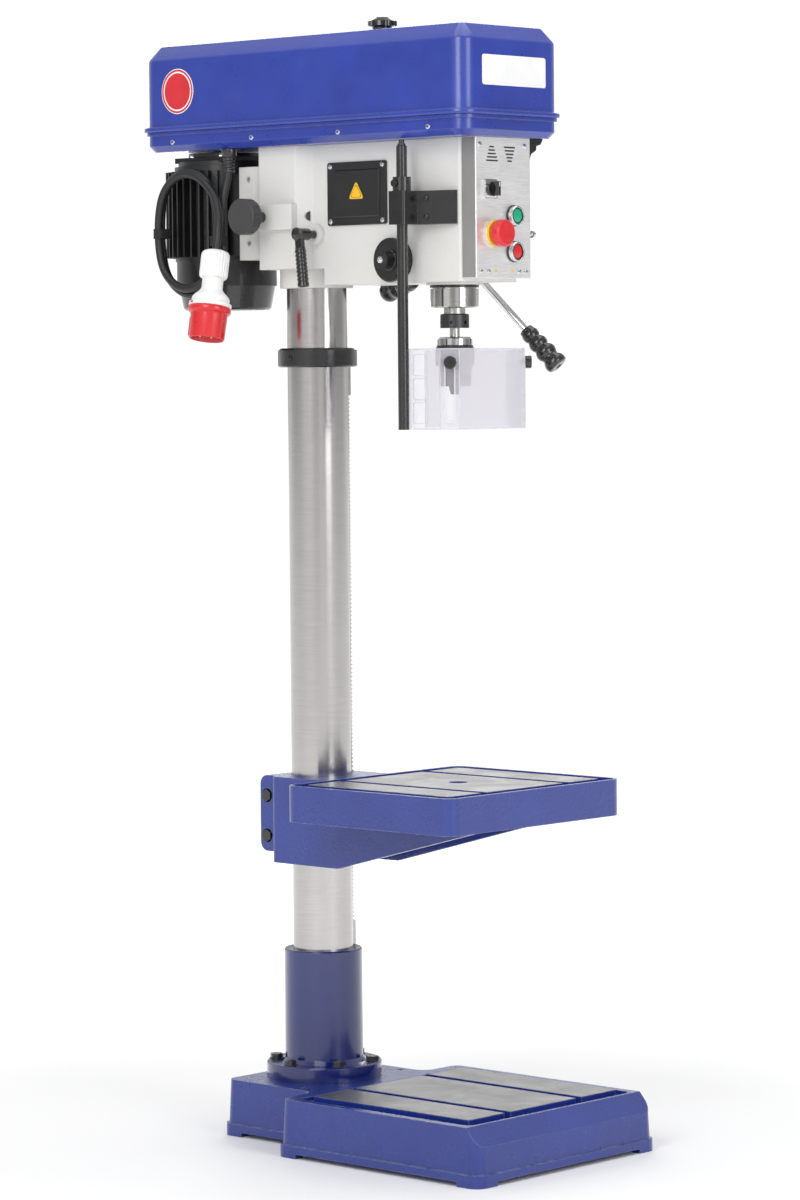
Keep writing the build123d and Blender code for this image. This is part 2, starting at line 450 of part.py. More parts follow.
def build_quill():
    """The quill with its rack, the spindle, its bearings, the chuck and its jaws."""
    centre = Pos(0, SPINDLE_Y, 0)
    quill_r = QUILL_D / 2
    quill = rod("Z", (0, 0), (QUILL_LOW + QUILL_RING, QUILL_TOP), quill_r)
    ring = rod("Z", (0, 0), (QUILL_LOW, QUILL_LOW + QUILL_RING), QUILL_RING_D / 2)
    quill += chamfer(ring.edges().group_by(Axis.Z)[0], 1.5)
    quill -= rod("Z", (0, 0), (0, QUILL_TOP + 1), SPINDLE_R + 4)
    for low in (QUILL_LOW - 1, QUILL_TOP - 22):
        quill -= rod("Z", (0, 0), (low, low + 23), 26)
    pitch = pi * MODULE
    depth = quill_r - 2.25 * MODULE
    gap_face = make_face(Polyline((0, depth, -0.9 * MODULE), (0, quill_r + 1, -1.9 * MODULE),
                                  (0, quill_r + 1, 1.9 * MODULE), (0, depth, 0.9 * MODULE), close=True))
    cutter = Pos(-11, 0, 0) * extrude(gap_face, 22, dir=(1, 0, 0))
    count = int((STROKE + 20) / pitch)
    quill -= [Pos(0, 0, FEED_Z + pitch * index) * cutter for index in range(-2, count)]
    nodes["quill"] = centre * quill
    seal = tube("Z", (0, 0), (NOSE_LOW - 7.5, NOSE_LOW - 3.5), quill_r + 4, quill_r + GAP)
    nodes["quill_seal"] = centre * seal

    bearings = Part()
    for low in (QUILL_LOW + 1, QUILL_TOP - 21):
        bearings += tube("Z", (0, 0), (low, low + 18), 26 - FIT, SPINDLE_R + 4 + RUN + GAP)
    nodes["spindle_bearings"] = centre * bearings
    spindle = rod("Z", (0, 0), (QUILL_LOW - 9, QUILL_TOP + 4), SPINDLE_R + 4 - GAP)
    spindle = rod("Z", (0, 0), (QUILL_LOW - 30, QUILL_LOW - GAP), SPINDLE_NOSE_R) + spindle
    spindle += rod("Z", (0, 0), (QUILL_TOP + 4, PULLEY_LOW + 4 * STEP_HIGH + 8), SPINDLE_R)
    spindle -= rod("Z", (0, 0), (0, CHUCK_TOP + 60), ARBOR_R + FIT)
    nodes["spindle"] = centre * spindle
    nut = tube("Z", (0, 0), (NOSE_Z, NOSE_Z + 21), 21.5, SPINDLE_NOSE_R + FIT)
    nut = chamfer(nut.edges().group_by(Axis.Z)[-1], 1.5)
    for index in range(6):
        nut -= Rot(0, 0, 30 + 60 * index) * rod("X", (0, NOSE_Z + 8), (17, 23), 2.5)
    nodes["ejector_nut"] = centre * nut
    arbor = rod("Z", (0, 0), (CHUCK_TOP - 24, CHUCK_TOP + 56), ARBOR_R)
    nodes["chuck_arbor"] = centre * arbor

    body = turned(((0, CHUCK_LOW + 2), (19, CHUCK_LOW + 2), (20, 1172), (20, 1206), (CHUCK_R, 1206),
                   (CHUCK_R, CHUCK_TOP - 3), (CHUCK_R - 3, CHUCK_TOP), (0, CHUCK_TOP)))
    body -= rod("Z", (0, 0), (CHUCK_TOP - 25, CHUCK_TOP + 1), ARBOR_R + FIT)
    body -= rod("Z", (0, 0), (0, CHUCK_TOP - 30), 11)
    nodes["chuck_body"] = centre * body
    sleeve = turned(((20 + GAP, CHUCK_LOW), (24, CHUCK_LOW), (24, 1174), (29, 1176), (29, 1201), (27, 1204),
                     (27, 1206 - GAP), (20 + GAP, 1206 - GAP)))
    teeth = [Rot(0, 0, 10 * index) * rod("Z", (29.6, 0), (1177, 1200), 1.2) for index in range(36)]
    nodes["chuck_sleeve"] = centre * (sleeve - teeth)
    jaws = Part()
    for index in range(3):
        jaw = block((2.6, 9.5), (-3.5, 3.5), (JAW_LOW, CHUCK_LOW + 30))
        jaw &= rod("Z", (0, 0), (JAW_LOW, CHUCK_LOW + 30), 9.5)
        nose = turned(((0, JAW_LOW), (6.8, JAW_LOW), (9.5, JAW_LOW + 10), (9.5, CHUCK_LOW + 31), (0, CHUCK_LOW + 31)))
        jaws += Rot(0, 0, 120 * index + 20) * (jaw & nose)
    nodes["chuck_jaws"] = centre * jaws


def build_feed():
    """The pinion shaft across the head, its hub, levers and grips, and the return spring's drum."""
    y = feed_y()
    place = Pos(0, y, FEED_Z)
    shaft = rod("X", (0, 0), (-NOSE_HALF - 8, HUB_END - 6), FEED_SHAFT_R)
    wheel = Pos(-9, 0, 0) * Rot(0, 90, 0) * Rot(0, 0, -90) * toothed(FEED_TEETH, 18, FEED_SHAFT_R - 1)
    nodes["pinion_shaft"] = place * (shaft + wheel)
    hub = rod("X", (0, 0), (HUB_START, HUB_END), HUB_R)
    hub = fillet(hub.edges(), 3) + rod("X", (0, 0), (NOSE_HALF + GAP, HUB_START + 4), 19)
    hub -= rod("X", (0, 0), (0, HUB_END - 6), FEED_SHAFT_R + FIT)
    levers, grips = Part(), Part()
    start_x = (HUB_START + HUB_END) / 2
    for index in range(3):
        spin = Rot(LEVER_ANGLE + 120 * index, 0, 0)
        lean = Pos(start_x, 0, 0) * Rot(0, 0, LEVER_LEAN) * Rot(90, 0, 0)
        place_lever = spin * lean
        hub -= place_lever * rod("Z", (0, 0), (14, 40), LEVER_R + FIT)
        bar = rod("Z", (0, 0), (14, LEVER_LONG - 12), LEVER_R)
        levers += place_lever * bar
        start = LEVER_LONG - LEVER_GRIP
        profile = [(LEVER_R + FIT, start), (9.5, start), (11, start + 4)]
        for bulge in range(3):
            low = start + 6 + 17 * bulge
            profile += [(10 + 1.2 * bulge, low), (13 + 1.4 * bulge, low + 6), (13 + 1.4 * bulge, low + 11),
                        (10.5 + 1.2 * bulge, low + 16)]
        profile += [(14, start + 60), (17, start + 66), (17, LEVER_LONG - 5), (12, LEVER_LONG), (LEVER_R - 3, LEVER_LONG),
                    (LEVER_R - 3, LEVER_LONG - 12), (LEVER_R + FIT, LEVER_LONG - 12)]
        grips += place_lever * turned(profile)
    nodes["feed_hub"] = place * hub
    nodes["feed_levers"] = place * levers
    nodes["feed_grips"] = place * grips

    wall = NOSE_HALF
    drum = rod("X", (0, 0), (-DRUM_FACE, -wall), DRUM_R)
    drum = fillet(drum.edges().group_by(Axis.X)[0], 2) - rod("X", (0, 0), (-DRUM_FACE + 4, -wall), DRUM_R - 3)
    drum += rod("X", (0, 0), (-DRUM_HUB_END, -DRUM_FACE + 2), DRUM_HUB_R)
    drum -= rod("X", (0, 0), (-NOSE_HALF - 10, 0), FEED_SHAFT_R + GAP)
    drum -= Rot(-35, 0, 0) * block((-DRUM_FACE - 1, -DRUM_FACE + 3), (-3, 3), (-DRUM_R - 1, -DRUM_R + 7))
    nodes["spring_drum"] = place * drum
    turns, points = 5, 20
    inner, outer = [], []
    for index in range(turns * points + 1):
        angle = 2 * pi * index / points
        radius = FEED_SHAFT_R + 1.5 + 2.9 * index / points
        inner.append((radius * cos(angle), radius * sin(angle)))
        outer.append(((radius + 1.2) * cos(angle), (radius + 1.2) * sin(angle)))
    strip = extrude(make_face(Polyline(*(inner + outer[::-1]), close=True)), DRUM_FACE - 7 - wall)
    nodes["return_spring"] = place * (Pos(-DRUM_FACE + 5.5, 0, 0) * Rot(0, 90, 0) * strip)


def pan_screw(length):
    """A domed screw whose head sits on Z = 0 and whose shank points down."""
    head = turned(((0, 0), (4, 0), (4, 1.2), (2.8, 2.6), (0, 3)))
    return head + rod("Z", (0, 0), (-length, 0), 2) - block((-2.4, 2.4), (-0.5, 0.5), (1.6, 4))


def build_controls():
    """The electrics cover, the control panel and everything that is pressed or turned on it."""
    cover = block((-NOSE_HALF - 3, -NOSE_HALF), COVER_Y, COVER_Z)
    cover = fillet(cover.edges().filter_by(Axis.X), 4)
    raised = block((-NOSE_HALF - 5, -NOSE_HALF - 3), (COVER_Y[0] + 13, COVER_Y[1] - 13),
                   (COVER_Z[0] + 12, COVER_Z[1] - 12))
    cover += chamfer(raised.edges().group_by(Axis.X)[0], 1)
    screws = Part()
    for y in (COVER_Y[0] + 7, COVER_Y[1] - 7):
        for z in (COVER_Z[0] + 6, COVER_Z[1] - 6):
            cover -= rod("X", (y, z), (-NOSE_HALF - 6, -NOSE_HALF + 1), 2 + OPEN_FIT)
            nodes["head_casting"] -= rod("X", (y, z), (-NOSE_HALF - 1, -NOSE_HALF + 7), 2 + FIT)
            screws += Pos(-NOSE_HALF - 3, y, z) * Rot(0, -90, 0) * pan_screw(9)
    nodes["electrics_cover"] = cover

    panel = block((-PANEL_HALF, PANEL_HALF), (PANEL_FRONT, NOSE_FRONT), (PANEL_LOW, HEAD_TOP - GAP))
    panel = fillet(panel.edges().filter_by(Axis.Z).group_by(Axis.Y)[0], 1.5)
    panel -= block((-PANEL_HALF + 2, PANEL_HALF - 2), (PANEL_FRONT + 2, NOSE_FRONT + 1),
                   (PANEL_LOW + 2, HEAD_TOP - GAP - 2))
    for x, z in ((-50.5, 1312), (-34, 1312), (34, 1312), (48.5, 1312), (-51.5, 1496), (47.5, 1496)):
        panel -= rod("Y", (x, z), (PANEL_FRONT - 1, PANEL_FRONT + 3), 2 + FIT)
        screws += Pos(x, PANEL_FRONT, z) * Rot(90, 0, 0) * pan_screw(6)
    nodes["cover_screws"] = screws
    bezels = Part()
    for z in (START_Z, STOP_Z):
        panel -= rod("Y", (BUTTON_X, z), (PANEL_FRONT - 1, PANEL_FRONT + 3), 11)
        bezel = tube("Y", (BUTTON_X, z), (PANEL_FRONT - 10, PANEL_FRONT), 14.5, 11)
        bezels += chamfer(bezel.edges().group_by(Axis.Y)[0], 1.2)
    panel -= rod("Y", (ESTOP_X, ESTOP_Z), (PANEL_FRONT - 1, PANEL_FRONT + 3), 11)
    panel -= rod("Y", (SELECTOR_X, SELECTOR_Z), (PANEL_FRONT - 1, PANEL_FRONT + 3), 6)
    nodes["control_panel"] = panel
    for name, z in (("start_button", START_Z), ("stop_button", STOP_Z)):
        button = rod("Y", (BUTTON_X, z), (PANEL_FRONT - 8.5, PANEL_FRONT + 8), 11 - GAP)
        nodes[name] = fillet(button.edges().group_by(Axis.Y)[0], 1.2)
    collar = tube("Y", (ESTOP_X, ESTOP_Z), (PANEL_FRONT - 7, PANEL_FRONT), 20, 11)
    bezels += chamfer(collar.edges().group_by(Axis.Y)[0], 2.4)
    stem = rod("Y", (0, 0), (PANEL_FRONT - 14, PANEL_FRONT + 10), 11 - GAP)
    mushroom = rod("Y", (0, 0), (PANEL_FRONT - 27, PANEL_FRONT - 13), 20)
    mushroom = fillet(mushroom.edges().group_by(Axis.Y)[0], 4)
    flutes = [Rot(0, 15 * index, 0) * rod("Y", (20.6, 0), (PANEL_FRONT - 18, PANEL_FRONT - 12), 1.3)
              for index in range(24)]
    nodes["estop_button"] = Pos(ESTOP_X, 0, ESTOP_Z) * (stem + mushroom - flutes)
    plate_half = 14
    base = block((-plate_half, plate_half), (PANEL_FRONT - 5, PANEL_FRONT), (-plate_half, plate_half))
    base = fillet(base.edges().filter_by(Axis.Y), 3) - rod("Y", (0, 0), (PANEL_FRONT - 6, PANEL_FRONT + 1), 5 + RUN)
    nodes["switch_bezels"] = bezels + Pos(SELECTOR_X, 0, SELECTOR_Z) * base
    face = PANEL_FRONT - 5 - GAP
    knob = rod("Y", (0, 0), (face - 5, face), 11) + rod("Y", (0, 0), (face, PANEL_FRONT + 6), 5)
    knob += fillet(block((-3.5, 3.5), (face - 16, face - 3), (-10.5, 10.5)).edges().group_by(Axis.Y)[0], 1.5)
    nodes["selector_knob"] = Pos(SELECTOR_X, 0, SELECTOR_Z) * knob


def case_solid(inset, z):
    """A slab with the belt case's rounded plan."""
    half = CASE_HALF - inset
    slab = block((-half, half), (CASE_FRONT + inset, CASE_BACK - inset), z)
    return fillet(slab.edges().filter_by(Axis.Z), CASE_CORNER - inset)


def build_case():
    """The belt case: the tray with its stud and hinge pins, the hinged lid and the knob."""
    tray = case_solid(0, (HEAD_TOP, RIM_Z))
    tray = chamfer(tray.edges().group_by(Axis.Z)[0], TRAY_CUT)
    tray += case_solid(-RIM_OUT + 4, (RIM_Z - 5, RIM_Z))
    tray -= case_solid(CASE_WALL + TRAY_CUT, (HEAD_TOP + CASE_WALL, RIM_Z + 1))
    tray -= case_solid(CASE_WALL, (HEAD_TOP + CASE_WALL + TRAY_CUT, RIM_Z + 1))
    tray -= rod("Z", (0, SPINDLE_Y), (0, RIM_Z), 26)
    for y in (MOTOR_Y, MOTOR_Y + TENSION_TRAVEL):
        tray -= rod("Z", (0, y), (0, RIM_Z), 24)
    tray -= block((-24, 24), (MOTOR_Y, MOTOR_Y + TENSION_TRAVEL), (0, RIM_Z))
    tray += rod("Z", (0, IDLER_Y), (HEAD_TOP, HEAD_TOP + 10), 24)
    tray -= rod("Z", (0, IDLER_Y), (HEAD_TOP - 1, HEAD_TOP + 11), 9 + FIT)
    stud_low = HEAD_TOP + CASE_WALL
    tray += rod("Z", (0, KNOB_Y), (HEAD_TOP, stud_low + 12), 12)
    tray += rod("Z", (0, KNOB_Y), (stud_low, CASE_TOP + 14), 5)
    hinge_y, hinge_z = CASE_BACK + RIM_OUT + 5, RIM_Z + 1
    for side in (-1, 1):
        for low, high in ((30, 42), (58, 70)):
            ends = (side * low, side * high)
            tray += rod("X", (hinge_y, hinge_z), ends, 5)
            tray += block(ends, (CASE_BACK - 2, hinge_y), (hinge_z - 5, hinge_z - 1.5))
    lid = case_solid(-RIM_OUT, (RIM_Z + GAP, RIM_Z + RIM_THICK))
    lid = fillet(lid.edges().group_by(Axis.Z)[-1], 2)
    lid += case_solid(0, (RIM_Z + GAP, SHOULDER_Z))
    lid += case_roof(0)
    lid -= case_solid(CASE_WALL, (RIM_Z, SHOULDER_Z)) + case_roof(CASE_WALL)
    lid -= rod("Z", (0, KNOB_Y), (RIM_Z, CASE_TOP + 1), 10)
    for side in (-1, 1):
        ends = (side * (42 + GAP), side * (58 - GAP))
        lid -= block((side * 29.5, side * 70.5), (CASE_BACK + RIM_OUT - 1, CASE_BACK + RIM_OUT + 9), (RIM_Z, RIM_Z + 9))
        lid += rod("X", (hinge_y, hinge_z), ends, 5) + block(ends, (CASE_BACK + 2, hinge_y), (hinge_z, hinge_z + 5))
        lid -= rod("X", (hinge_y, hinge_z), (side * 41, side * 59), 2.5 + RUN)
        tray += rod("X", (hinge_y, hinge_z), (side * 30, side * 70), 2.5)
    nodes["belt_tray"] = tray
    nodes["belt_lid"] = lid
    low = CASE_TOP + GAP
    knob = turned(((0, KNOB_TOP - 1.5), (13, KNOB_TOP - 1.5), (16, KNOB_TOP - 3), (KNOB_R, KNOB_TOP - 6),
                   (KNOB_R, KNOB_TOP - 13), (15, KNOB_TOP - 15), (14, low), (0, low)))
    lobes = [Rot(0, 0, 60 * index) * rod("Z", (KNOB_R + 4.5, 0), (low - 1, KNOB_TOP + 1), 7.5) for index in range(6)]
    knob -= lobes
    knob += rod("Z", (0, 0), (KNOB_TOP - 3, KNOB_TOP), 9)
    knob -= rod("Z", (0, 0), (low - 1, CASE_TOP + 14 + GAP), 5 + GAP)
    nodes["lid_knob"] = Pos(0, KNOB_Y, 0) * knob


def case_roof(inset):
    """The sloping shoulder and flat top of the lid, drawn in by a wall's thickness."""
    half, front, back = CASE_HALF - inset, CASE_FRONT + inset, CASE_BACK - inset
    outline = ((-half, front), (half, front), (half, back), (-half, back))
    sketch = fillet(make_face(Polyline(*outline, close=True)).vertices(), CASE_CORNER - inset)
    slope = degrees(atan2(SHOULDER_IN, CASE_TOP - SHOULDER_Z))
    return Pos(0, 0, SHOULDER_Z) * extrude(sketch, CASE_TOP - SHOULDER_Z - inset, taper=slope)


def stepped_pulley(radii, bore):
    """A stepped V pulley standing on Z = 0, its first radius lowest."""
    profile = [(bore, 0)]
    for index, radius in enumerate(radii):
        low = STEP_HIGH * index
        half = BELT_WIDE / 2 + 1
        mid = low + STEP_HIGH / 2
        profile += [(radius, low), (radius, mid - half - 1), (radius - BELT_THICK - 2, mid - half + 1.5),
                    (radius - BELT_THICK - 2, mid + half - 1.5), (radius, mid + half + 1), (radius, low + STEP_HIGH)]
    profile.append((bore, STEP_HIGH * len(radii)))
    return turned(profile)


def belt_loop(first_y, first_r, second_y, second_r, z):
    """A closed belt round two pulleys on the centre line."""
    def outline(grow):
        lean = (first_r - second_r) / (second_y - first_y)
        rise = sqrt(1 - lean * lean)
        r1, r2 = first_r + grow, second_r + grow
        right1, right2 = (r1 * rise, first_y + r1 * lean), (r2 * rise, second_y + r2 * lean)
        left1, left2 = (-right1[0], right1[1]), (-right2[0], right2[1])
        lines = [Line(right1, right2), ThreePointArc(right2, (0, second_y + r2), left2),
                 Line(left2, left1), ThreePointArc(left1, (0, first_y - r1), right1)]
        return make_face(lines)
    ring = outline(BELT_THICK) - outline(0)
    return Pos(0, 0, z - BELT_WIDE / 2 + 2) * extrude(ring, BELT_WIDE - 4)


def build_drive():
    """The three stepped pulleys and the two belts inside the case."""
    grip = BELT_THICK + 2 - GAP * 2
    low = PULLEY_LOW
    spindle = Pos(0, 0, low) * stepped_pulley(SPINDLE_STEPS, SPINDLE_R + RUN)
    spindle += tube("Z", (0, 0), (HEAD_TOP - 18, low), 22, SPINDLE_R + RUN)
    nodes["spindle_pulley"] = Pos(0, SPINDLE_Y, 0) * spindle
    idler = Pos(0, IDLER_Y, low) * stepped_pulley(IDLER_STEPS, 9 + RUN)
    nodes["idler_pulley"] = idler
    shaft = rod("Z", (0, IDLER_Y), (HEAD_TOP, low + 4 * STEP_HIGH + 4), 9)
    shaft += rod("Z", (0, IDLER_Y), (HEAD_TOP + 10, low - GAP), 14)
    nodes["idler_shaft"] = shaft
    motor = Pos(0, MOTOR_Y, low) * stepped_pulley(MOTOR_STEPS, MOTOR_SHAFT_R + FIT)
    nodes["motor_pulley"] = motor
    front_z = low + STEP_HIGH * (FRONT_BELT_STEP + 0.5)
    rear_z = low + STEP_HIGH * (REAR_BELT_STEP + 0.5)
    front = belt_loop(SPINDLE_Y, SPINDLE_STEPS[FRONT_BELT_STEP] - grip,
                      IDLER_Y, IDLER_STEPS[FRONT_BELT_STEP] - grip, front_z)
    rear = belt_loop(IDLER_Y, IDLER_STEPS[REAR_BELT_STEP] - grip,
                     MOTOR_Y, MOTOR_STEPS[REAR_BELT_STEP] - grip, rear_z)
    nodes["drive_belts"] = Part() + front + rear


def build_motor():
    """The motor on its sliding carriage, with the lever that tensions the belts and its lock."""
    mount = block((-MOUNT_HALF, MOUNT_HALF), (MOUNT_FRONT, MOUNT_BACK), (MOUNT_LOW, MOUNT_HIGH))
    mount = chamfer(mount.edges().filter_by(Axis.Z), 9)
    mount -= block((-MOUNT_HALF + 32, MOUNT_HALF - 32), (MOUNT_FRONT - 1, MOUNT_BACK - 12),
                   (MOUNT_LOW - 1, MOUNT_HIGH - 12))
    for side in (-1, 1):
        mount -= rod("Y", (side * ROD_X, ROD_Z), (MOUNT_FRONT - 1, MOUNT_BACK - 10), ROD_R + FIT)
    for z in (1364, 1461):
        mount -= rod("X", (70, z), (-MOUNT_HALF - 1, -MOUNT_HALF + 14), 3.4)
    nodes["motor_mount"] = mount
    rods = Part()
    for side in (-1, 1):
        rods += rod("Y", (side * ROD_X, ROD_Z), (-45, MOUNT_BACK - 10), ROD_R)
    nodes["guide_rods"] = rods

    body = rod("Z", (0, MOTOR_Y), (MOTOR_LOW, MOTOR_HIGH), MOTOR_R)
    fins = []
    for index in range(40):
        angle = 9 * index
        fins.append(Pos(0, MOTOR_Y, 0) * Rot(0, 0, angle) * block((MOTOR_R - 2, FIN_R), (-1.4, 1.4),
                                                                  (MOTOR_LOW + 6, MOTOR_HIGH - 8)))
    body += fins
    clear = block((-MOTOR_R, MOTOR_R), (0, MOUNT_BACK), (MOTOR_LOW, MOTOR_HIGH))
    body += rod("Z", (0, MOTOR_Y), (BELL_LOW, MOTOR_LOW), BELL_R)
    body += rod("Z", (0, MOTOR_Y), (MOTOR_HIGH, MOTOR_HIGH + 8), MOTOR_R - 6)
    body += block((-58, 58), (MOUNT_BACK, MOTOR_Y - 40), (MOUNT_LOW + 8, MOUNT_HIGH - 8))
    body += block((-60, 60), (MOTOR_Y - 66, MOTOR_Y + 52), (MOTOR_HIGH + 6, MOTOR_HIGH + 14))
    body += block((MOTOR_R - 10, FIN_R + 22), (MOTOR_Y - 45, MOTOR_Y + 45), (1390, 1470))
    body -= clear
    body -= rod("Z", (0, MOTOR_Y), (BELL_LOW - 1, MOTOR_HIGH - 12), 62)
    body -= rod("Z", (0, MOTOR_Y), (BELL_LOW - 1, MOTOR_HIGH + 15), MOTOR_SHAFT_R + RUN)
    nodes["motor_body"] = body
    cowl = turned(((0, COWL_LOW), (COWL_LOW_R - 3, COWL_LOW), (COWL_LOW_R, COWL_LOW + 3), (COWL_R, BELL_LOW),
                   (COWL_R - 2.5, BELL_LOW), (COWL_LOW_R - 3, COWL_LOW + 3), (0, COWL_LOW + 3)))
    for radius in (14, 24, 34, 44, 54):
        for index in range(4):
            ring = tube("Z", (0, 0), (COWL_LOW - 1, COWL_LOW + 4), radius + 5, radius)
            cowl -= ring & (Rot(0, 0, 90 * index) * block((3, 80), (3, 80), (0, 2000)))
    nodes["fan_cowl"] = Pos(0, MOTOR_Y, 0) * cowl
    rotor = rod("Z", (0, MOTOR_Y), (BELL_LOW - 20, PULLEY_LOW + 4 * STEP_HIGH), MOTOR_SHAFT_R)
    rotor += rod("Z", (0, MOTOR_Y), (BELL_LOW + 24, MOTOR_HIGH - 30), 40)
    rotor += rod("Z", (0, MOTOR_Y), (BELL_LOW - 24, BELL_LOW - 19), 58)
    nodes["motor_rotor"] = rotor

    knob_back = LOCK_BOSS[4] + 27
    stem = rod("X", (LOCK_Y, LOCK_Z), (-knob_back, -ROD_X - ROD_R - GAP), 5)
    stem += rod("X", (LOCK_Y, LOCK_Z), (-knob_back, -LOCK_BOSS[4] - GAP), 8)
    knob = fillet(rod("X", (0, 0), (-knob_back - 20, -knob_back), 27.3).edges(), 2)
    flutes = [Rot(30 * index, 0, 0) * rod("X", (29.0, 0), (-knob_back - 17, -knob_back + 1), 3.2)
              for index in range(12)]
    nodes["lock_knob"] = stem + Pos(0, LOCK_Y, LOCK_Z) * (knob - flutes)
    hub = rod("X", (TENSION_Y, TENSION_Z), (-HEAD_HALF - 20, -28 - GAP), 6)
    hub += rod("X", (TENSION_Y, TENSION_Z), (-HEAD_HALF - 24, -HEAD_HALF - 4), 9)
    hub += Pos(-HEAD_HALF - 22, TENSION_Y, TENSION_Z) * Rot(-6, 0, 0) * block((-4, 4), (-6, 6), (-24, 0))
    grip = turned(((0, -80), (6.5, -80), (8, -77), (7, -22), (5.5, -20), (0, -20)))
    nodes["tension_lever"] = hub + Pos(-HEAD_HALF - 22, TENSION_Y, TENSION_Z) * Rot(-6, 0, 0) * grip


def guard_path(inset, start):
    """The shield's plan line, drawn in by the inset."""
    side, front, cut = GUARD_SIDE - inset, GUARD_FRONT + inset, GUARD_CHAMFER
    return Polyline((-side, start), (-side, front + cut), (-side + cut, front), (side - cut, front),
                    (side, front + cut), (side, front + cut + 25))


def build_guard():
    """The chuck guard: a rod held beside the head, the fixed shield and the sliding shield."""
    near = -NOSE_HALF - FIT
    arm = ((GUARD_X + 9, GUARD_Y + 15), (near, GUARD_Y + 15), (near, GUARD_Y - 75), (near - 8, GUARD_Y - 75),
           (GUARD_X + 14, GUARD_Y - 17), (GUARD_X + 9, GUARD_Y - 17))
    bracket = plate(arm, (CLAMP_LOW, CLAMP_HIGH))
    bracket += fillet(block((GUARD_X - 15, GUARD_X + 12), (GUARD_Y - 17, GUARD_Y + 15),
                            (CLAMP_LOW, CLAMP_HIGH)).edges().filter_by(Axis.Z), 4)
    bracket -= rod("Z", (GUARD_X, GUARD_Y), (0, HEAD_TOP), GUARD_R + RUN)
    nodes["guard_bracket"] = bracket
    post = rod("Z", (0, 0), (GUARD_LOW, GUARD_ROD_TOP), GUARD_R)
    post = chamfer(post.edges().group_by(Axis.Z)[-1], 1) + rod("Z", (0, 0), (GUARD_ROD_TOP, HEAD_TOP - 2), 4.2)
    post += rod("Z", (0, 0), (GUARD_ROD_TOP, GUARD_ROD_TOP + 3), 6)
    collar = tube("Z", (0, 0), (CLAMP_HIGH + GAP, CLAMP_HIGH + 20.5), 13.5, GUARD_R + FIT)
    collar -= rod("X", (0, CLAMP_HIGH + 11), (-20, -GUARD_R), 2.5 + FIT)
    collar += rod("X", (0, CLAMP_HIGH + 11), (-19, -GUARD_R - FIT), 2.5) + rod("X", (0, CLAMP_HIGH + 11), (-19, -15), 5)
    nodes["guard_rod"] = Pos(GUARD_X, GUARD_Y, 0) * (post + collar)

    frame = Pos(0, 0, GUARD_LOW) * extrude(trace(guard_path(0, GUARD_Y - 3), SHEET), GUARD_HIGH - GUARD_LOW)
    frame -= rod("Z", (GUARD_X, GUARD_Y), (0, HEAD_TOP), GUARD_R + FIT)
    shield_path = guard_path(SHEET + 1, GUARD_Y - 32)
    shield = Pos(0, 0, GUARD_LOW + 3) * extrude(trace(shield_path, SHEET), GUARD_HIGH - GUARD_LOW - 6)
    knobs = Part()
    top = GUARD_HIGH - 21
    for side in (-1, 1):
        middle = Pos(side * (GUARD_SIDE - GUARD_CHAMFER / 2), GUARD_FRONT + GUARD_CHAMFER / 2, top)
        facing = middle * Rot(0, 0, 45 * side) * Rot(90, 0, 0)
        slot = rod("Z", (0, 0), (-6, 6), 6) + block((-6, 6), (-SHIELD_DROP, 0), (-6, 6))
        slot += rod("Z", (0, -SHIELD_DROP), (-6, 6), 6)
        inside = block((-8, 8), (-SHIELD_DROP - 8, 8), (-6, 2.5))
        frame -= facing * slot
        shield -= facing * rod("Z", (0, 0), (-9, 6), 2.5 + FIT)
        knob = rod("Z", (0, 0), (-8, 4), 2.5) + fillet(rod("Z", (0, 0), (2.5, 12), 9.5).edges(), 1.5)
        knob -= rod("Z", (0, 0), (8, 13), 3)
        knobs += facing * knob
    nodes["guard_frame"] = frame
    nodes["guard_shield"] = shield
    nodes["shield_knobs"] = knobs


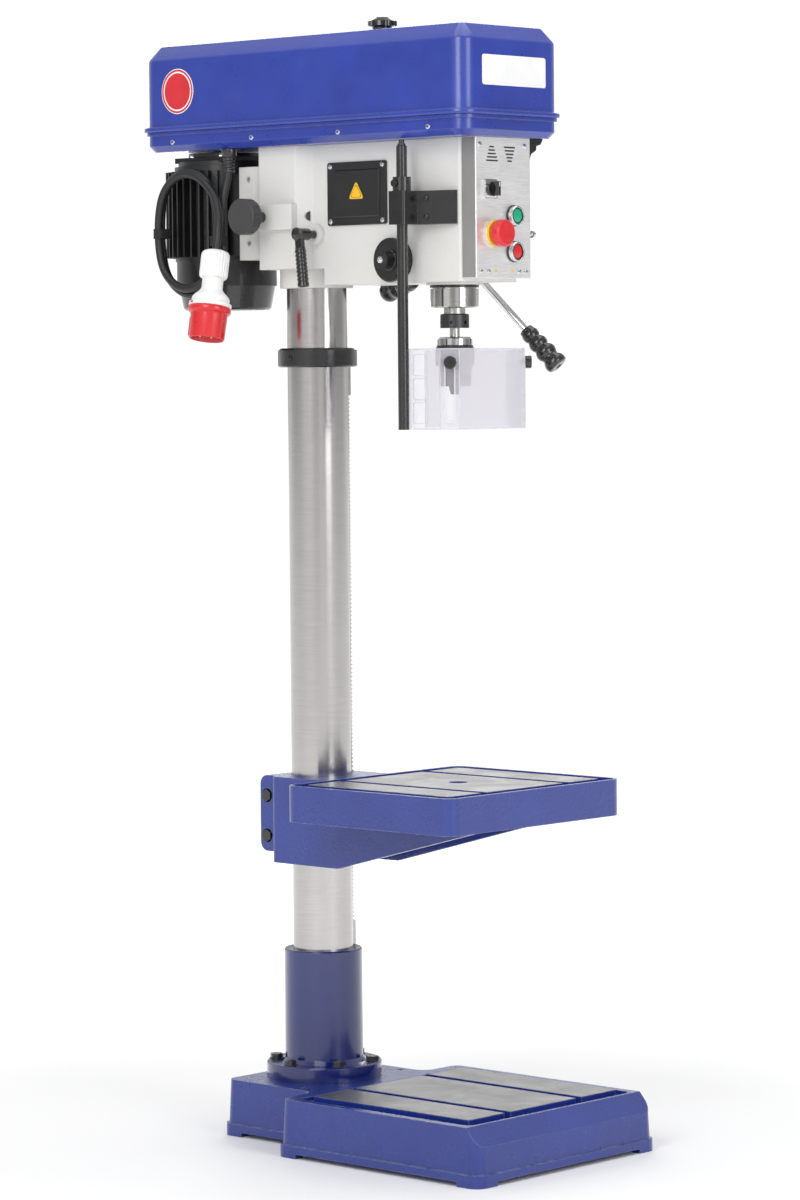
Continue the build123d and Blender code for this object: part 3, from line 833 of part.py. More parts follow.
def build_lead():
    """The power lead, its hanging loops, the gland above and the plug below."""
    x, y, z = CORD_EXIT
    gland = turned(((CORD_D / 2 + FIT, z - 2), (CORD_D / 2 + 3, z - 2), (CORD_D / 2 + 6, z + 4), (CORD_D / 2 + 6, HEAD_TOP),
                    (CORD_D / 2 + FIT, HEAD_TOP)))
    nodes["cord_gland"] = Pos(x, y, 0) * gland
    points = [Vector(*point) for point in LEAD_ROUTE]
    radii = []
    for before, here, after in zip(points, points[1:], points[2:]):
        turn = radians((here - before).get_angle(after - here))
        shorter = min((here - before).length, (after - here).length)
        radii.append(0.45 * shorter / tan(turn / 2))
    print("lead bend radii", [round(radius) for radius in radii])
    path = FilletPolyline(*points, radius=radii)
    section = Plane(origin=path @ 0, z_dir=path % 0) * Circle(CORD_D / 2)
    lead = sweep(section, path)
    print("lead volume over section times length", round(lead.volume / (pi * CORD_D ** 2 / 4 * path.length), 3))
    nodes["cord_lead"] = lead
    outer = Pos(COIL_X, COIL_Y, COIL_Z) * Rot(0, 90, 0) * extrude(SlotOverall(COIL_TALL, COIL_WIDE), COIL_THICK / 2, both=True)
    hole = SlotOverall(COIL_TALL - 2 * COIL_THICK, COIL_WIDE - 2 * COIL_THICK)
    outer -= Pos(COIL_X, COIL_Y, COIL_Z) * Rot(0, 90, 0) * extrude(hole, COIL_THICK, both=True)
    start, end = Vector(*TAIL_TOP), Vector(*PLUG_TOP)
    run = end - start
    tail = Plane(origin=start, z_dir=run) * Cylinder(CORD_D / 2, run.length, align=(Align.CENTER, Align.CENTER, Align.MIN))
    nodes["cord_coil"] = outer + tail
    place = Pos(*PLUG_TOP) * Rot(*PLUG_TILT, 0)
    body = turned(((0, 6), (10, 6), (21.7, -2), (21.7, -36), (16.3, -38), (16.3, -53), (29, -68), (29, -76), (32.5, -76),
                   (32.5, -83), (0, -83)))
    nodes["plug_body"] = place * body
    shroud = turned(((0, -83), (32.5, -83), (32.5, -92), (28, -95), (27, -131), (24.5, -131), (24.5, -98), (0, -98)))
    for angle in (90, 18, -54, -126, 162):
        radius = 15
        shroud += rod("Z", (radius * cos(radians(angle)), radius * sin(radians(angle))), (-126, -98), 2.5)
    nodes["plug_shroud"] = place * shroud


build_base()
build_column()
build_table()
build_head()
build_quill()
build_feed()
build_controls()
build_case()
build_drive()
build_motor()
build_guard()
build_lead()

os.makedirs("parts", exist_ok=True)
for name, solid in nodes.items():
    export_step(Pos(0, FRAME_SHIFT, 0) * solid, f"parts/{name}.step")
print("nodes", len(nodes), "shift along Y", FRAME_SHIFT)
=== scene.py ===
"""Dresses the floor-standing drill press: finishes, fine detail, power lead, studio and camera."""

import logging
import math
from dataclasses import dataclass
from enum import Enum
from typing import Iterable, Sequence

import bmesh
import bpy
from mathutils import Matrix, Vector

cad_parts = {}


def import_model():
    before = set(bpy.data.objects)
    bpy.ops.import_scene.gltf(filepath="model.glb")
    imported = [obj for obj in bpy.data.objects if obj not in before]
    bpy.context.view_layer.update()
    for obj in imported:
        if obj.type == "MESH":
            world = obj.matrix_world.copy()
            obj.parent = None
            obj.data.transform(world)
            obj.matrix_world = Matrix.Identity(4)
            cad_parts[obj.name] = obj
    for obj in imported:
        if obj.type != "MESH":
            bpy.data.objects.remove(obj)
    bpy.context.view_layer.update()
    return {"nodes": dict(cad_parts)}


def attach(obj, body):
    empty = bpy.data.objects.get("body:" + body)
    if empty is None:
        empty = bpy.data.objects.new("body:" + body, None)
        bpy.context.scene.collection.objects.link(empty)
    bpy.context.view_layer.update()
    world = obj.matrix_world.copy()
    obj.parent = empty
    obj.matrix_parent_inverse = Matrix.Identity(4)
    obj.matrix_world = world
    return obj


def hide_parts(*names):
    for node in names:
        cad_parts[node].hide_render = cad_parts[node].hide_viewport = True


LOG = logging.getLogger("drill_press")
MM = 0.001
COLUMN_SHIFT = 104.5  # from the column's axis to the row frame's origin, along Y

Colour = tuple[float, float, float]
Point2 = tuple[float, float]


def at(x: float, y: float, z: float) -> Vector:
    """A point of the row frame in metres, from millimetres about the column.

    Args:
        x: towards the operator's right.
        y: away from the operator, from the column's axis.
        z: above the floor.

    Returns:
        The point in metres.
    """
    return Vector((x, y + COLUMN_SHIFT, z)) * MM


def turn(axis: str, degrees: float) -> Matrix:
    """A rotation about one axis, in degrees."""
    return Matrix.Rotation(math.radians(degrees), 4, axis)


def shift(x: float, y: float, z: float) -> Matrix:
    """A move in millimetres."""
    return Matrix.Translation((x, y, z))


def set_down(x: float, y: float, z: float, *turns: Matrix) -> Matrix:
    """Where a piece drawn in millimetres about its own origin stands in the row frame.

    Args:
        x: column frame, millimetres.
        y: column frame, millimetres.
        z: column frame, millimetres.
        *turns: rotations and moves made before it is set down, the outermost first.

    Returns:
        The matrix from the drawing to the row frame.
    """
    place = Matrix.Translation(at(x, y, z)) @ Matrix.Scale(MM, 4)
    for step in turns:
        place = place @ step
    return place


def facing(direction: Sequence[float]) -> Matrix:
    """The rotation that points a drawing's Z along a direction."""
    return Vector(direction).to_track_quat("Z", "Y").to_matrix().to_4x4()


# ---------------------------------------------------------------- finishes


class NodeGraph:
    """The nodes of one finish, written from the coordinates out to the surface."""

    def __init__(self, name: str) -> None:
        """Starts a material with one Principled surface."""
        self.material = bpy.data.materials.new(name)
        self.material.use_nodes = True
        self.tree = self.material.node_tree
        self.surface = self.tree.nodes["Principled BSDF"]

    def add(self, kind: str, **settings: object) -> bpy.types.Node:
        """Adds a node and sets its properties."""
        node = self.tree.nodes.new(kind)
        for key, value in settings.items():
            setattr(node, key, value)
        return node

    def link(self, source: bpy.types.NodeSocket, target: bpy.types.NodeSocket) -> None:
        """Joins two sockets."""
        self.tree.links.new(source, target)

    def set(self, **values: object) -> None:
        """Sets sockets of the surface, with underscores for the spaces in their names."""
        for key, value in values.items():
            self.surface.inputs[key.replace("_", " ")].default_value = value

    def place(self, stretch: Sequence[float] = (1, 1, 1)) -> bpy.types.NodeSocket:
        """The piece's own coordinates in metres, stretched along each axis."""
        coords = self.add("ShaderNodeTexCoord").outputs["Object"]
        if tuple(stretch) == (1, 1, 1):
            return coords
        mapping = self.add("ShaderNodeMapping")
        mapping.inputs["Scale"].default_value = stretch
        self.link(coords, mapping.inputs["Vector"])
        return mapping.outputs["Vector"]

    def noise(self, scale: float, detail: float = 3.0, stretch: Sequence[float] = (1, 1, 1),
              distortion: float = 0.0) -> bpy.types.NodeSocket:
        """Cloudy noise.

        Args:
            scale: features per metre.
            detail: octaves.
            stretch: how much finer the noise is along each axis.
            distortion: how far the noise is bent by itself.

        Returns:
            The socket with values from 0 to 1.
        """
        node = self.add("ShaderNodeTexNoise")
        node.inputs["Scale"].default_value = scale
        node.inputs["Detail"].default_value = detail
        node.inputs["Distortion"].default_value = distortion
        self.link(self.place(stretch), node.inputs["Vector"])
        return node.outputs["Fac"]

    def cells(self, scale: float) -> bpy.types.NodeSocket:
        """Distance to the nearest of scattered points, for hammered and orange-peel paint."""
        node = self.add("ShaderNodeTexVoronoi", feature="SMOOTH_F1")
        node.inputs["Scale"].default_value = scale
        self.link(self.place(), node.inputs["Vector"])
        return node.outputs["Distance"]

    def spread(self, value: bpy.types.NodeSocket, low: float, high: float,
               to_low: float = 0.0, to_high: float = 1.0) -> bpy.types.NodeSocket:
        """Maps a value's range onto another, clamped."""
        node = self.add("ShaderNodeMapRange")
        for name, number in (("From Min", low), ("From Max", high), ("To Min", to_low),
                             ("To Max", to_high)):
            node.inputs[name].default_value = number
        self.link(value, node.inputs["Value"])
        return node.outputs["Result"]

    def math(self, kind: str, first: bpy.types.NodeSocket, second: object) -> bpy.types.NodeSocket:
        """One step of arithmetic with a socket and a socket or number."""
        node = self.add("ShaderNodeMath", operation=kind)
        self.link(first, node.inputs[0])
        if isinstance(second, (int, float)):
            node.inputs[1].default_value = second
        else:
            self.link(second, node.inputs[1])
        return node.outputs[0]

    def blend(self, factor: bpy.types.NodeSocket, first: object, second: object) -> bpy.types.NodeSocket:
        """Mixes two colours, each a socket or three numbers."""
        node = self.add("ShaderNodeMix", data_type="RGBA")
        self.link(factor, node.inputs["Factor"])
        for socket, value in ((node.inputs[6], first), (node.inputs[7], second)):
            if isinstance(value, tuple):
                socket.default_value = (*value, 1.0)
            else:
                self.link(value, socket)
        return node.outputs[2]

    def rounded(self, radius: float) -> bpy.types.NodeSocket:
        """The surface's normal with its edges softened over a radius in metres."""
        node = self.add("ShaderNodeBevel", samples=4)
        node.inputs["Radius"].default_value = radius
        return node.outputs["Normal"]

    def edges(self, normal: bpy.types.NodeSocket) -> bpy.types.NodeSocket:
        """1 on edges and 0 on open faces, from a softened normal."""
        dot = self.add("ShaderNodeVectorMath", operation="DOT_PRODUCT")
        self.link(normal, dot.inputs[0])
        self.link(self.add("ShaderNodeNewGeometry").outputs["Normal"], dot.inputs[1])
        return self.spread(dot.outputs["Value"], 0.985, 0.80)

    def bump(self, height: bpy.types.NodeSocket, depth: float, normal: bpy.types.NodeSocket | None = None,
             strength: float = 1.0) -> bpy.types.NodeSocket:
        """A relief whose full height is the depth in metres."""
        node = self.add("ShaderNodeBump")
        node.inputs["Distance"].default_value = depth
        node.inputs["Strength"].default_value = strength
        self.link(height, node.inputs["Height"])
        if normal is not None:
            self.link(normal, node.inputs["Normal"])
        return node.outputs["Normal"]

    def paint(self, socket: str, value: bpy.types.NodeSocket) -> None:
        """Links a value to a socket of the surface."""
        self.link(value, self.surface.inputs[socket])


@dataclass(frozen=True)
class Finish:
    """A named finish that is made once and shared.

    Attributes:
        name: the material's name.
        slot: the record's material slot it belongs to, or nothing where it has none; not used.
        colour: linear base colour.
        roughness: middle of the roughness.
    """

    name: str
    slot: str
    colour: Colour
    roughness: float

    def material(self) -> bpy.types.Material:
        """The finish's material, made on first use."""
        found = bpy.data.materials.get(self.name)
        if found is None:
            graph = NodeGraph(self.name)
            self.build(graph)
            found = graph.material
        return found

    def build(self, graph: NodeGraph) -> None:
        """Writes the finish's nodes."""
        raise NotImplementedError


@dataclass(frozen=True)
class Enamel(Finish):
    """Paint over cast iron or sheet.

    Attributes:
        coat: how much clear gloss lies on top.
        grain: features of the surface per metre.
        depth: height of that relief in metres.
        peel: True for the dimpled relief of thick paint, False for a soft wave.
        rounding: radius that edges are softened over, in metres.
        edge_wear_and_highlight: how strongly edges turn to a pale line, a painted highlight that is partly
            worn paint.
        edge_wear_and_highlight_colour: the pale line's colour, painted highlight and worn paint.
        tint: how much the colour wanders.
    """

    coat: float = 0.3
    grain: float = 350.0
    depth: float = 0.00012
    peel: bool = False
    rounding: float = 0.0016
    edge_wear_and_highlight: float = 0.0
    edge_wear_and_highlight_colour: Colour = (0.42, 0.48, 0.68)
    tint: float = 0.10

    def build(self, graph: NodeGraph) -> None:
        """Writes colour, edges and relief."""
        graph.set(Roughness=self.roughness, Coat_Weight=self.coat, Coat_Roughness=0.12)
        normal = graph.rounded(self.rounding)
        graph.paint("Base Color", self.tinted(graph, normal))
        rough = graph.spread(graph.noise(28, 4), 0.3, 0.7, self.roughness - 0.05, self.roughness + 0.07)
        graph.paint("Roughness", rough)
        graph.paint("Normal", self.relief(graph, normal))

    def tinted(self, graph: NodeGraph, normal: bpy.types.NodeSocket) -> bpy.types.NodeSocket:
        """The paint's colour with its slow drift and its pale edge line, painted highlight and partly worn
        paint.
        """
        low = tuple(channel * (1 - self.tint) for channel in self.colour)
        high = tuple(min(1.0, channel * (1 + self.tint)) for channel in self.colour)
        colour = graph.blend(graph.spread(graph.noise(9, 5), 0.3, 0.7), low, high)
        # Edges, concave ones too, are mixed towards a pale colour: a painted highlight, made patchy so that it
        # also reads as worn paint.
        if self.edge_wear_and_highlight:
            patchy = graph.spread(graph.noise(60, 4), 0.35, 0.65, 0.25, 1.0)
            wear_and_highlight_amount = graph.math("MULTIPLY", graph.math("MULTIPLY", graph.edges(normal), patchy), self.edge_wear_and_highlight)
            colour = graph.blend(wear_and_highlight_amount, colour, self.edge_wear_and_highlight_colour)
        return colour

    def relief(self, graph: NodeGraph, normal: bpy.types.NodeSocket) -> bpy.types.NodeSocket:
        """The paint's own texture over softened edges."""
        if self.peel:
            coarse = graph.bump(graph.cells(self.grain), self.depth, normal)
            return graph.bump(graph.noise(self.grain * 0.35, 3), self.depth * 2.0, coarse)
        return graph.bump(graph.noise(self.grain, 3), self.depth, normal)


@dataclass(frozen=True)
class GroundEnamel(Enamel):
    """Paint on a casting whose top pad is ground bare.

    Attributes:
        low: lowest corner of the ground pad, in metres.
        high: highest corner of the ground pad, in metres.
        bare: colour of the ground iron.
    """

    low: tuple[float, float, float] = (0, 0, 0)
    high: tuple[float, float, float] = (0, 0, 0)
    bare: Colour = (0.185, 0.178, 0.180)

    def inside(self, graph: NodeGraph) -> bpy.types.NodeSocket:
        """1 on the upward face inside the pad's box, else 0."""
        split = graph.add("ShaderNodeSeparateXYZ")
        graph.link(graph.place(), split.inputs[0])
        up = graph.add("ShaderNodeSeparateXYZ")
        graph.link(graph.add("ShaderNodeNewGeometry").outputs["Normal"], up.inputs[0])
        mask = graph.math("GREATER_THAN", up.outputs[2], 0.9)
        for axis in range(3):
            mask = graph.math("MULTIPLY", mask,
                              graph.math("GREATER_THAN", split.outputs[axis], self.low[axis]))
            mask = graph.math("MULTIPLY", mask,
                              graph.math("LESS_THAN", split.outputs[axis], self.high[axis]))
        return mask

    def build(self, graph: NodeGraph) -> None:
        """Writes the paint, then the bare pad through its mask."""
        super().build(graph)
        mask = self.inside(graph)
        painted = graph.surface.inputs["Base Color"].links[0].from_socket
        strokes = graph.noise(60, 6, (1.2, 14, 1))
        cloud = graph.noise(14, 5, distortion=0.6)
        streaks = graph.blend(graph.spread(strokes, 0.3, 0.7), tuple(c * 0.80 for c in self.bare),
                              tuple(c * 1.12 for c in self.bare))
        metal = graph.blend(graph.spread(cloud, 0.35, 0.75, 0.0, 0.45), streaks,
                            tuple(c * 0.62 for c in self.bare))
        graph.paint("Base Color", graph.blend(mask, painted, metal))
        graph.paint("Metallic", graph.math("MULTIPLY", mask, 0.6))
        rough = graph.surface.inputs["Roughness"].links[0].from_socket
        mixed = graph.add("ShaderNodeMix", data_type="FLOAT")
        graph.link(mask, mixed.inputs["Factor"])
        graph.link(rough, mixed.inputs[2])
        graph.link(graph.spread(cloud, 0.3, 0.7, 0.34, 0.52), mixed.inputs[3])
        graph.paint("Roughness", mixed.outputs[0])


@dataclass(frozen=True)
class BareMetal(Finish):
    """Ground, brushed, plated or blackened metal.

    Attributes:
        lines: how much finer the tool marks are along each axis.
        grain: tool marks per metre before they are stretched.
        depth: depth of the marks in metres.
        rounding: radius that edges are softened over, in metres.
        cloud: how much handling dulls the surface in patches.
        anisotropy: how far highlights stretch across the marks.
    """

    lines: tuple[float, float, float] = (1, 1, 1)
    grain: float = 300.0
    depth: float = 0.00001
    rounding: float = 0.0006
    cloud: float = 0.06
    anisotropy: float = 0.0

    def build(self, graph: NodeGraph) -> None:
        """Writes colour, tool marks and dulling."""
        graph.set(Metallic=1.0, Anisotropic=self.anisotropy)
        marks = graph.noise(self.grain, 5, self.lines)
        dull = graph.noise(22, 4)
        low = tuple(channel * 0.86 for channel in self.colour)
        high = tuple(min(1.0, channel * 1.08) for channel in self.colour)
        graph.paint("Base Color", graph.blend(graph.spread(marks, 0.3, 0.7), low, high))
        graph.paint("Roughness", graph.spread(dull, 0.3, 0.75, self.roughness, self.roughness + self.cloud))
        graph.paint("Normal", graph.bump(marks, self.depth, graph.rounded(self.rounding)))


@dataclass(frozen=True)
class Moulded(Finish):
    """Moulded plastic or rubber.

    Attributes:
        coat: clear gloss on top.
        grain: spark-eroded texture, features per metre.
        depth: depth of that texture in metres.
        rounding: radius that edges are softened over, in metres.
    """

    coat: float = 0.0
    grain: float = 900.0
    depth: float = 0.00002
    rounding: float = 0.0006

    def build(self, graph: NodeGraph) -> None:
        """Writes colour with slight drift, and the mould's texture."""
        graph.set(Coat_Weight=self.coat, Coat_Roughness=0.10, IOR=1.5)
        low = tuple(channel * 0.9 for channel in self.colour)
        high = tuple(min(1.0, channel * 1.07) for channel in self.colour)
        graph.paint("Base Color", graph.blend(graph.noise(35, 4), low, high))
        rough = graph.spread(graph.noise(70, 3), 0.3, 0.7, self.roughness - 0.04, self.roughness + 0.06)
        graph.paint("Roughness", rough)
        graph.paint("Normal",
                    graph.bump(graph.noise(self.grain, 2), self.depth, graph.rounded(self.rounding)))


@dataclass(frozen=True)
class ClearSheet(Finish):
    """Clear polycarbonate sheet, seen through, with milky edges and faint flow marks.

    Attributes:
        haze: least share of the surface that shows.
        edge: share that shows where the sheet is seen edge on.
    """

    haze: float = 0.10
    edge: float = 0.75

    def build(self, graph: NodeGraph) -> None:
        """Mixes a see-through surface with a glossy one by the angle of view."""
        graph.set(Roughness=self.roughness, IOR=1.58, Base_Color=(*self.colour, 1.0))
        graph.paint("Normal", graph.bump(graph.noise(26, 2), 0.00025))
        through = graph.add("ShaderNodeBsdfTransparent")
        through.inputs["Color"].default_value = (0.965, 0.962, 0.975, 1.0)
        weight = graph.add("ShaderNodeLayerWeight")
        weight.inputs["Blend"].default_value = 0.25
        mix = graph.add("ShaderNodeMixShader")
        graph.link(graph.spread(weight.outputs["Facing"], 0.0, 1.0, self.haze, self.edge), mix.inputs[0])
        graph.link(through.outputs[0], mix.inputs[1])
        graph.link(graph.surface.outputs[0], mix.inputs[2])
        output = graph.tree.nodes["Material Output"]
        graph.link(mix.outputs[0], output.inputs["Surface"])


class Look(Enum):
    """Every finish on the machine."""

    # The pale edge line set on the enamels below is a painted highlight, partly worn paint.
    BLUE_CAST = Enamel("blue_cast", "blue", (0.018, 0.040, 0.270), 0.34, coat=0.35, grain=420,
                       depth=0.00022, peel=True,
                       rounding=0.0022, edge_wear_and_highlight=0.75)
    BLUE_SHEET = Enamel("blue_sheet", "blue", (0.020, 0.042, 0.300), 0.30, coat=0.45, grain=160,
                        depth=0.00010,
                        rounding=0.002, edge_wear_and_highlight=0.25)
    BLUE_SOCKET = Enamel("blue_socket", "blue", (0.007, 0.016, 0.135), 0.16, coat=0.7, grain=120,
                         depth=0.00012,
                         rounding=0.0018, edge_wear_and_highlight=0.2)
    TABLE = GroundEnamel("blue_table", "blue", (0.016, 0.036, 0.250), 0.30, coat=0.45, grain=480,
                         depth=0.00030,
                         peel=True, rounding=0.0022, edge_wear_and_highlight=0.8, low=(-0.1685, -0.310, 0.5555),
                         high=(0.1685, -0.027, 0.57))
    BASE = GroundEnamel("blue_base", "blue", (0.014, 0.034, 0.250), 0.28, coat=0.5, grain=330,
                        depth=0.00022, peel=True,
                        rounding=0.0025, edge_wear_and_highlight=0.7, low=(-0.166, -0.342, 0.0895),
                        high=(0.166, -0.030, 0.095))
    GREY_CAST = Enamel("grey_cast", "grey", (0.66, 0.655, 0.635), 0.42, coat=0.2, grain=260, depth=0.00022,
                       peel=True,
                       rounding=0.0025, tint=0.03)
    BLACK_CAST = Enamel("black_cast", "black", (0.009, 0.009, 0.010), 0.38, coat=0.25, grain=300,
                        depth=0.00014,
                        rounding=0.0014, tint=0.2, edge_wear_and_highlight=0.10, edge_wear_and_highlight_colour=(0.12, 0.12, 0.12))
    BLACK_SATIN = Enamel("black_satin", "black", (0.012, 0.012, 0.013), 0.26, coat=0.4, grain=90,
                         depth=0.00005,
                         rounding=0.0009, tint=0.2, edge_wear_and_highlight=0.15, edge_wear_and_highlight_colour=(0.2, 0.2, 0.2))
    COLUMN = BareMetal("column_steel", "steel", (0.50, 0.485, 0.48), 0.18, lines=(0.5, 0.5, 60), grain=60,
                       depth=0.000002, cloud=0.04)
    STEEL = BareMetal("ground_steel", "steel", (0.52, 0.51, 0.50), 0.22, grain=500, depth=0.000006)
    POLISHED = BareMetal("polished_steel", "steel", (0.62, 0.61, 0.59), 0.10, lines=(1, 1, 20), grain=60,
                         depth=0.000003, cloud=0.04)
    CHROME = BareMetal("chrome_plate", "chrome", (0.68, 0.68, 0.69), 0.06, grain=40, depth=0.000004,
                       cloud=0.05)
    DARK_STEEL = BareMetal("blackened_steel", "dark_steel", (0.075, 0.075, 0.078), 0.32, grain=600,
                           depth=0.00002)
    ALLOY = BareMetal("turned_alloy", "alloy", (0.60, 0.60, 0.61), 0.28, lines=(1, 1, 18), grain=60,
                      depth=0.00002)
    PANEL = BareMetal("brushed_panel", "panel", (0.90, 0.89, 0.89), 0.42, lines=(1, 1, 30), grain=60,
                      depth=0.000006,
                      anisotropy=0.3)
    PANEL_SIDE = Enamel("panel_side", "panel", (0.24, 0.235, 0.23), 0.36, coat=0.1, grain=500,
                        depth=0.00006)
    RUBBER = Moulded("cord_rubber", "rubber", (0.012, 0.012, 0.013), 0.42, grain=500, depth=0.00003)
    WEBBING = Moulded("strap_webbing", "rubber", (0.010, 0.010, 0.011), 0.75, grain=1600, depth=0.00025)
    BLACK_GLOSS = Moulded("black_grip", "black_plastic", (0.010, 0.010, 0.011), 0.20, coat=0.5)
    GREY_KNOB = Moulded("grey_knob", "grey_plastic", (0.040, 0.039, 0.041), 0.45, depth=0.00006)
    RED = Moulded("red_moulding", "red_plastic", (0.62, 0.012, 0.018), 0.30, coat=0.3)
    GREEN = Moulded("green_cap", "green_plastic", (0.0, 0.36, 0.20), 0.28, coat=0.3)
    YELLOW = Moulded("yellow_collar", "", (0.85, 0.48, 0.01), 0.35, coat=0.2)
    WHITE = Moulded("white_moulding", "white_plastic", (0.80, 0.80, 0.79), 0.40, coat=0.1)
    LABEL_WHITE = Moulded("label_white", "white_plastic", (0.80, 0.80, 0.81), 0.34, coat=0.2,
                          depth=0.000004)
    LABEL_RED = Moulded("label_red", "red_plastic", (0.60, 0.02, 0.03), 0.34, coat=0.2, depth=0.000004)
    LABEL_DARK = Moulded("label_dark", "grey_plastic", (0.03, 0.03, 0.032), 0.5, depth=0.000004)
    BRASS = BareMetal("pin_brass", "steel", (0.66, 0.50, 0.24), 0.22, grain=300, depth=0.000006)
    CLEAR = ClearSheet("clear_sheet", "clear", (0.80, 0.79, 0.82), 0.06, haze=0.22, edge=0.80)
    CLEAR_RIB = ClearSheet("clear_rib", "clear", (0.84, 0.83, 0.90), 0.08, haze=0.40, edge=0.97)


# ---------------------------------------------------------------- shapes


@dataclass
class Shape:
    """A mesh in the making, drawn in millimetres about its own origin."""

    mesh: bmesh.types.BMesh

    @classmethod
    def empty(cls) -> "Shape":
        """A shape with nothing in it."""
        return cls(bmesh.new())

    def ring(self, points: Iterable[Sequence[float]]) -> list[bmesh.types.BMVert]:
        """Adds the points of one loop."""
        return [self.mesh.verts.new(point) for point in points]

    def skin(self, first: list[bmesh.types.BMVert], second: list[bmesh.types.BMVert]) -> None:
        """Closes the strip between two loops; a loop of one point is a pole."""
        count = max(len(first), len(second))
        for index in range(count):
            after = (index + 1) % count
            corners = [first[index % len(first)], first[after % len(first)], second[after % len(second)],
                       second[index % len(second)]]
            unique = list(dict.fromkeys(corners))
            if len(unique) > 2:
                self.mesh.faces.new(unique)

    def cap(self, loop: list[bmesh.types.BMVert]) -> None:
        """Closes a loop with one flat face."""
        self.mesh.faces.new(loop)

    def loft(self, rings: Sequence[Sequence[Sequence[float]]], closed: bool = False,
             capped: bool = True) -> "Shape":
        """Skins a row of loops.

        Args:
            rings: loops of equally many points.
            closed: True where the last loop joins the first.
            capped: True for flat ends.

        Returns:
            The shape itself.
        """
        loops = [self.ring(points) for points in rings]
        for first, second in zip(loops, loops[1:]):
            self.skin(first, second)
        if closed:
            self.skin(loops[-1], loops[0])
        elif capped:
            for loop in (loops[0], loops[-1]):
                if len(loop) > 2:
                    self.cap(loop)
        return self

    def made(self, name: str, place: Matrix, crease: float = 35.0, bevel: float = 0.0) -> bpy.types.Object:
        """Turns the shape into an object in the row frame.

        Args:
            name: the piece's name.
            place: from millimetres about the shape's origin to the row frame.
            crease: edges sharper than this many degrees stay sharp.
            bevel: width in metres of the rounding on sharp edges, or 0.

        Returns:
            The object, its own origin at the row frame's.
        """
        bmesh.ops.remove_doubles(self.mesh, verts=self.mesh.verts, dist=0.0005)
        bmesh.ops.transform(self.mesh, matrix=place, verts=self.mesh.verts)
        bmesh.ops.recalc_face_normals(self.mesh, faces=self.mesh.faces)
        data = bpy.data.meshes.new(name)
        self.mesh.to_mesh(data)
        self.mesh.free()
        data.shade_smooth()
        data.set_sharp_from_angle(angle=math.radians(crease))
        obj = bpy.data.objects.new(name, data)
        bpy.context.scene.collection.objects.link(obj)
        if bevel:
            soft = obj.modifiers.new("edge", "BEVEL")
            soft.width, soft.segments, soft.limit_method = bevel, 3, "ANGLE"
            soft.angle_limit, soft.harden_normals = math.radians(crease), True
        return obj


def circle(radius: float, height: float, count: int = 48) -> list[Vector]:
    """Points of a level circle, or its centre where the radius is 0."""
    if radius < 1e-6:
        return [Vector((0, 0, height))]
    return [Vector((radius * math.cos(math.tau * i / count), radius * math.sin(math.tau * i / count),
                    height))
            for i in range(count)]


def lathe(profile: Sequence[Point2], count: int = 48, closed: bool = False) -> Shape:
    """A turned shape about Z.

    Args:
        profile: (radius, height) from one end to the other.
        count: points round each circle.
        closed: True for a ring, whose profile ends where it starts.

    Returns:
        The shape.
    """
    return Shape.empty().loft([circle(radius, height, count) for radius, height in profile], closed,
                              not closed)


def fluted(profile: Sequence[tuple[float, float, float]], flutes: int, fineness: int = 8) -> Shape:
    """A turned shape with flutes along it.

    Args:
        profile: (radius, height, depth of the flutes) from one end to the other.
        flutes: how many.
        fineness: points round each flute.

    Returns:
        The shape.
    """
    count = flutes * fineness
    rings = []
    for radius, height, depth in profile:
        if radius < 1e-6:
            rings.append([Vector((0, 0, height))])
            continue
        ring = []
        for index in range(count):
            angle = math.tau * index / count
            wave = max(0.0, math.cos(flutes * angle)) ** 2
            reach = radius - depth * wave
            ring.append(Vector((reach * math.cos(angle), reach * math.sin(angle), height)))
        rings.append(ring)
    return Shape.empty().loft(rings)


def round_rect(half_x: float, half_y: float, radius: float, steps: int = 8) -> list[Point2]:
    """A rectangle's outline about its centre with rounded corners, anticlockwise."""
    radius = max(0.01, min(radius, half_x - 0.01, half_y - 0.01))
    outline = []
    for index, (sx, sy) in enumerate(((1, 1), (-1, 1), (-1, -1), (1, -1))):
        for step in range(steps + 1):
            angle = math.pi / 2 * (index + step / steps)
            outline.append((sx * (half_x - radius) + radius * math.cos(angle),
                            sy * (half_y - radius) + radius * math.sin(angle)))
    return outline


def slab(outline: Sequence[Point2], low: float, high: float, round_off: float = 0.0) -> Shape:
    """A flat piece with the outline given, between two heights, its upper edge eased.

    Args:
        outline: plan points, anticlockwise.
        low: underside.
        high: upper side.
        round_off: how far the upper edge is eased, as a small chamfer in two steps.

    Returns:
        The shape.
    """
    rings = [[(x, y, low) for x, y in outline]]
    if round_off:
        for inset, drop in ((0.0, round_off), (0.3 * round_off, 0.3 * round_off), (round_off, 0.0)):
            rings.append([(x, y, high - drop) for x, y in shrunk(outline, inset)])
    else:
        rings.append([(x, y, high) for x, y in outline])
    return Shape.empty().loft(rings)


def shrunk(outline: Sequence[Point2], inset: float) -> list[Point2]:
    """An outline moved inwards by its corners' mitres."""
    if not inset:
        return list(outline)
    count = len(outline)
    result = []
    for index in range(count):
        before, here, after = (Vector(outline[(index + step) % count]) for step in (-1, 0, 1))
        first, second = (here - before).normalized(), (after - here).normalized()
        normal = Vector((-(first.y + second.y), first.x + second.x))
        normal = normal.normalized() if normal.length > 1e-9 else Vector((-first.y, first.x))
        cosine = max(0.3, normal.dot(Vector((-first.y, first.x))))
        result.append(tuple(here + normal * (inset / cosine)))
    return result


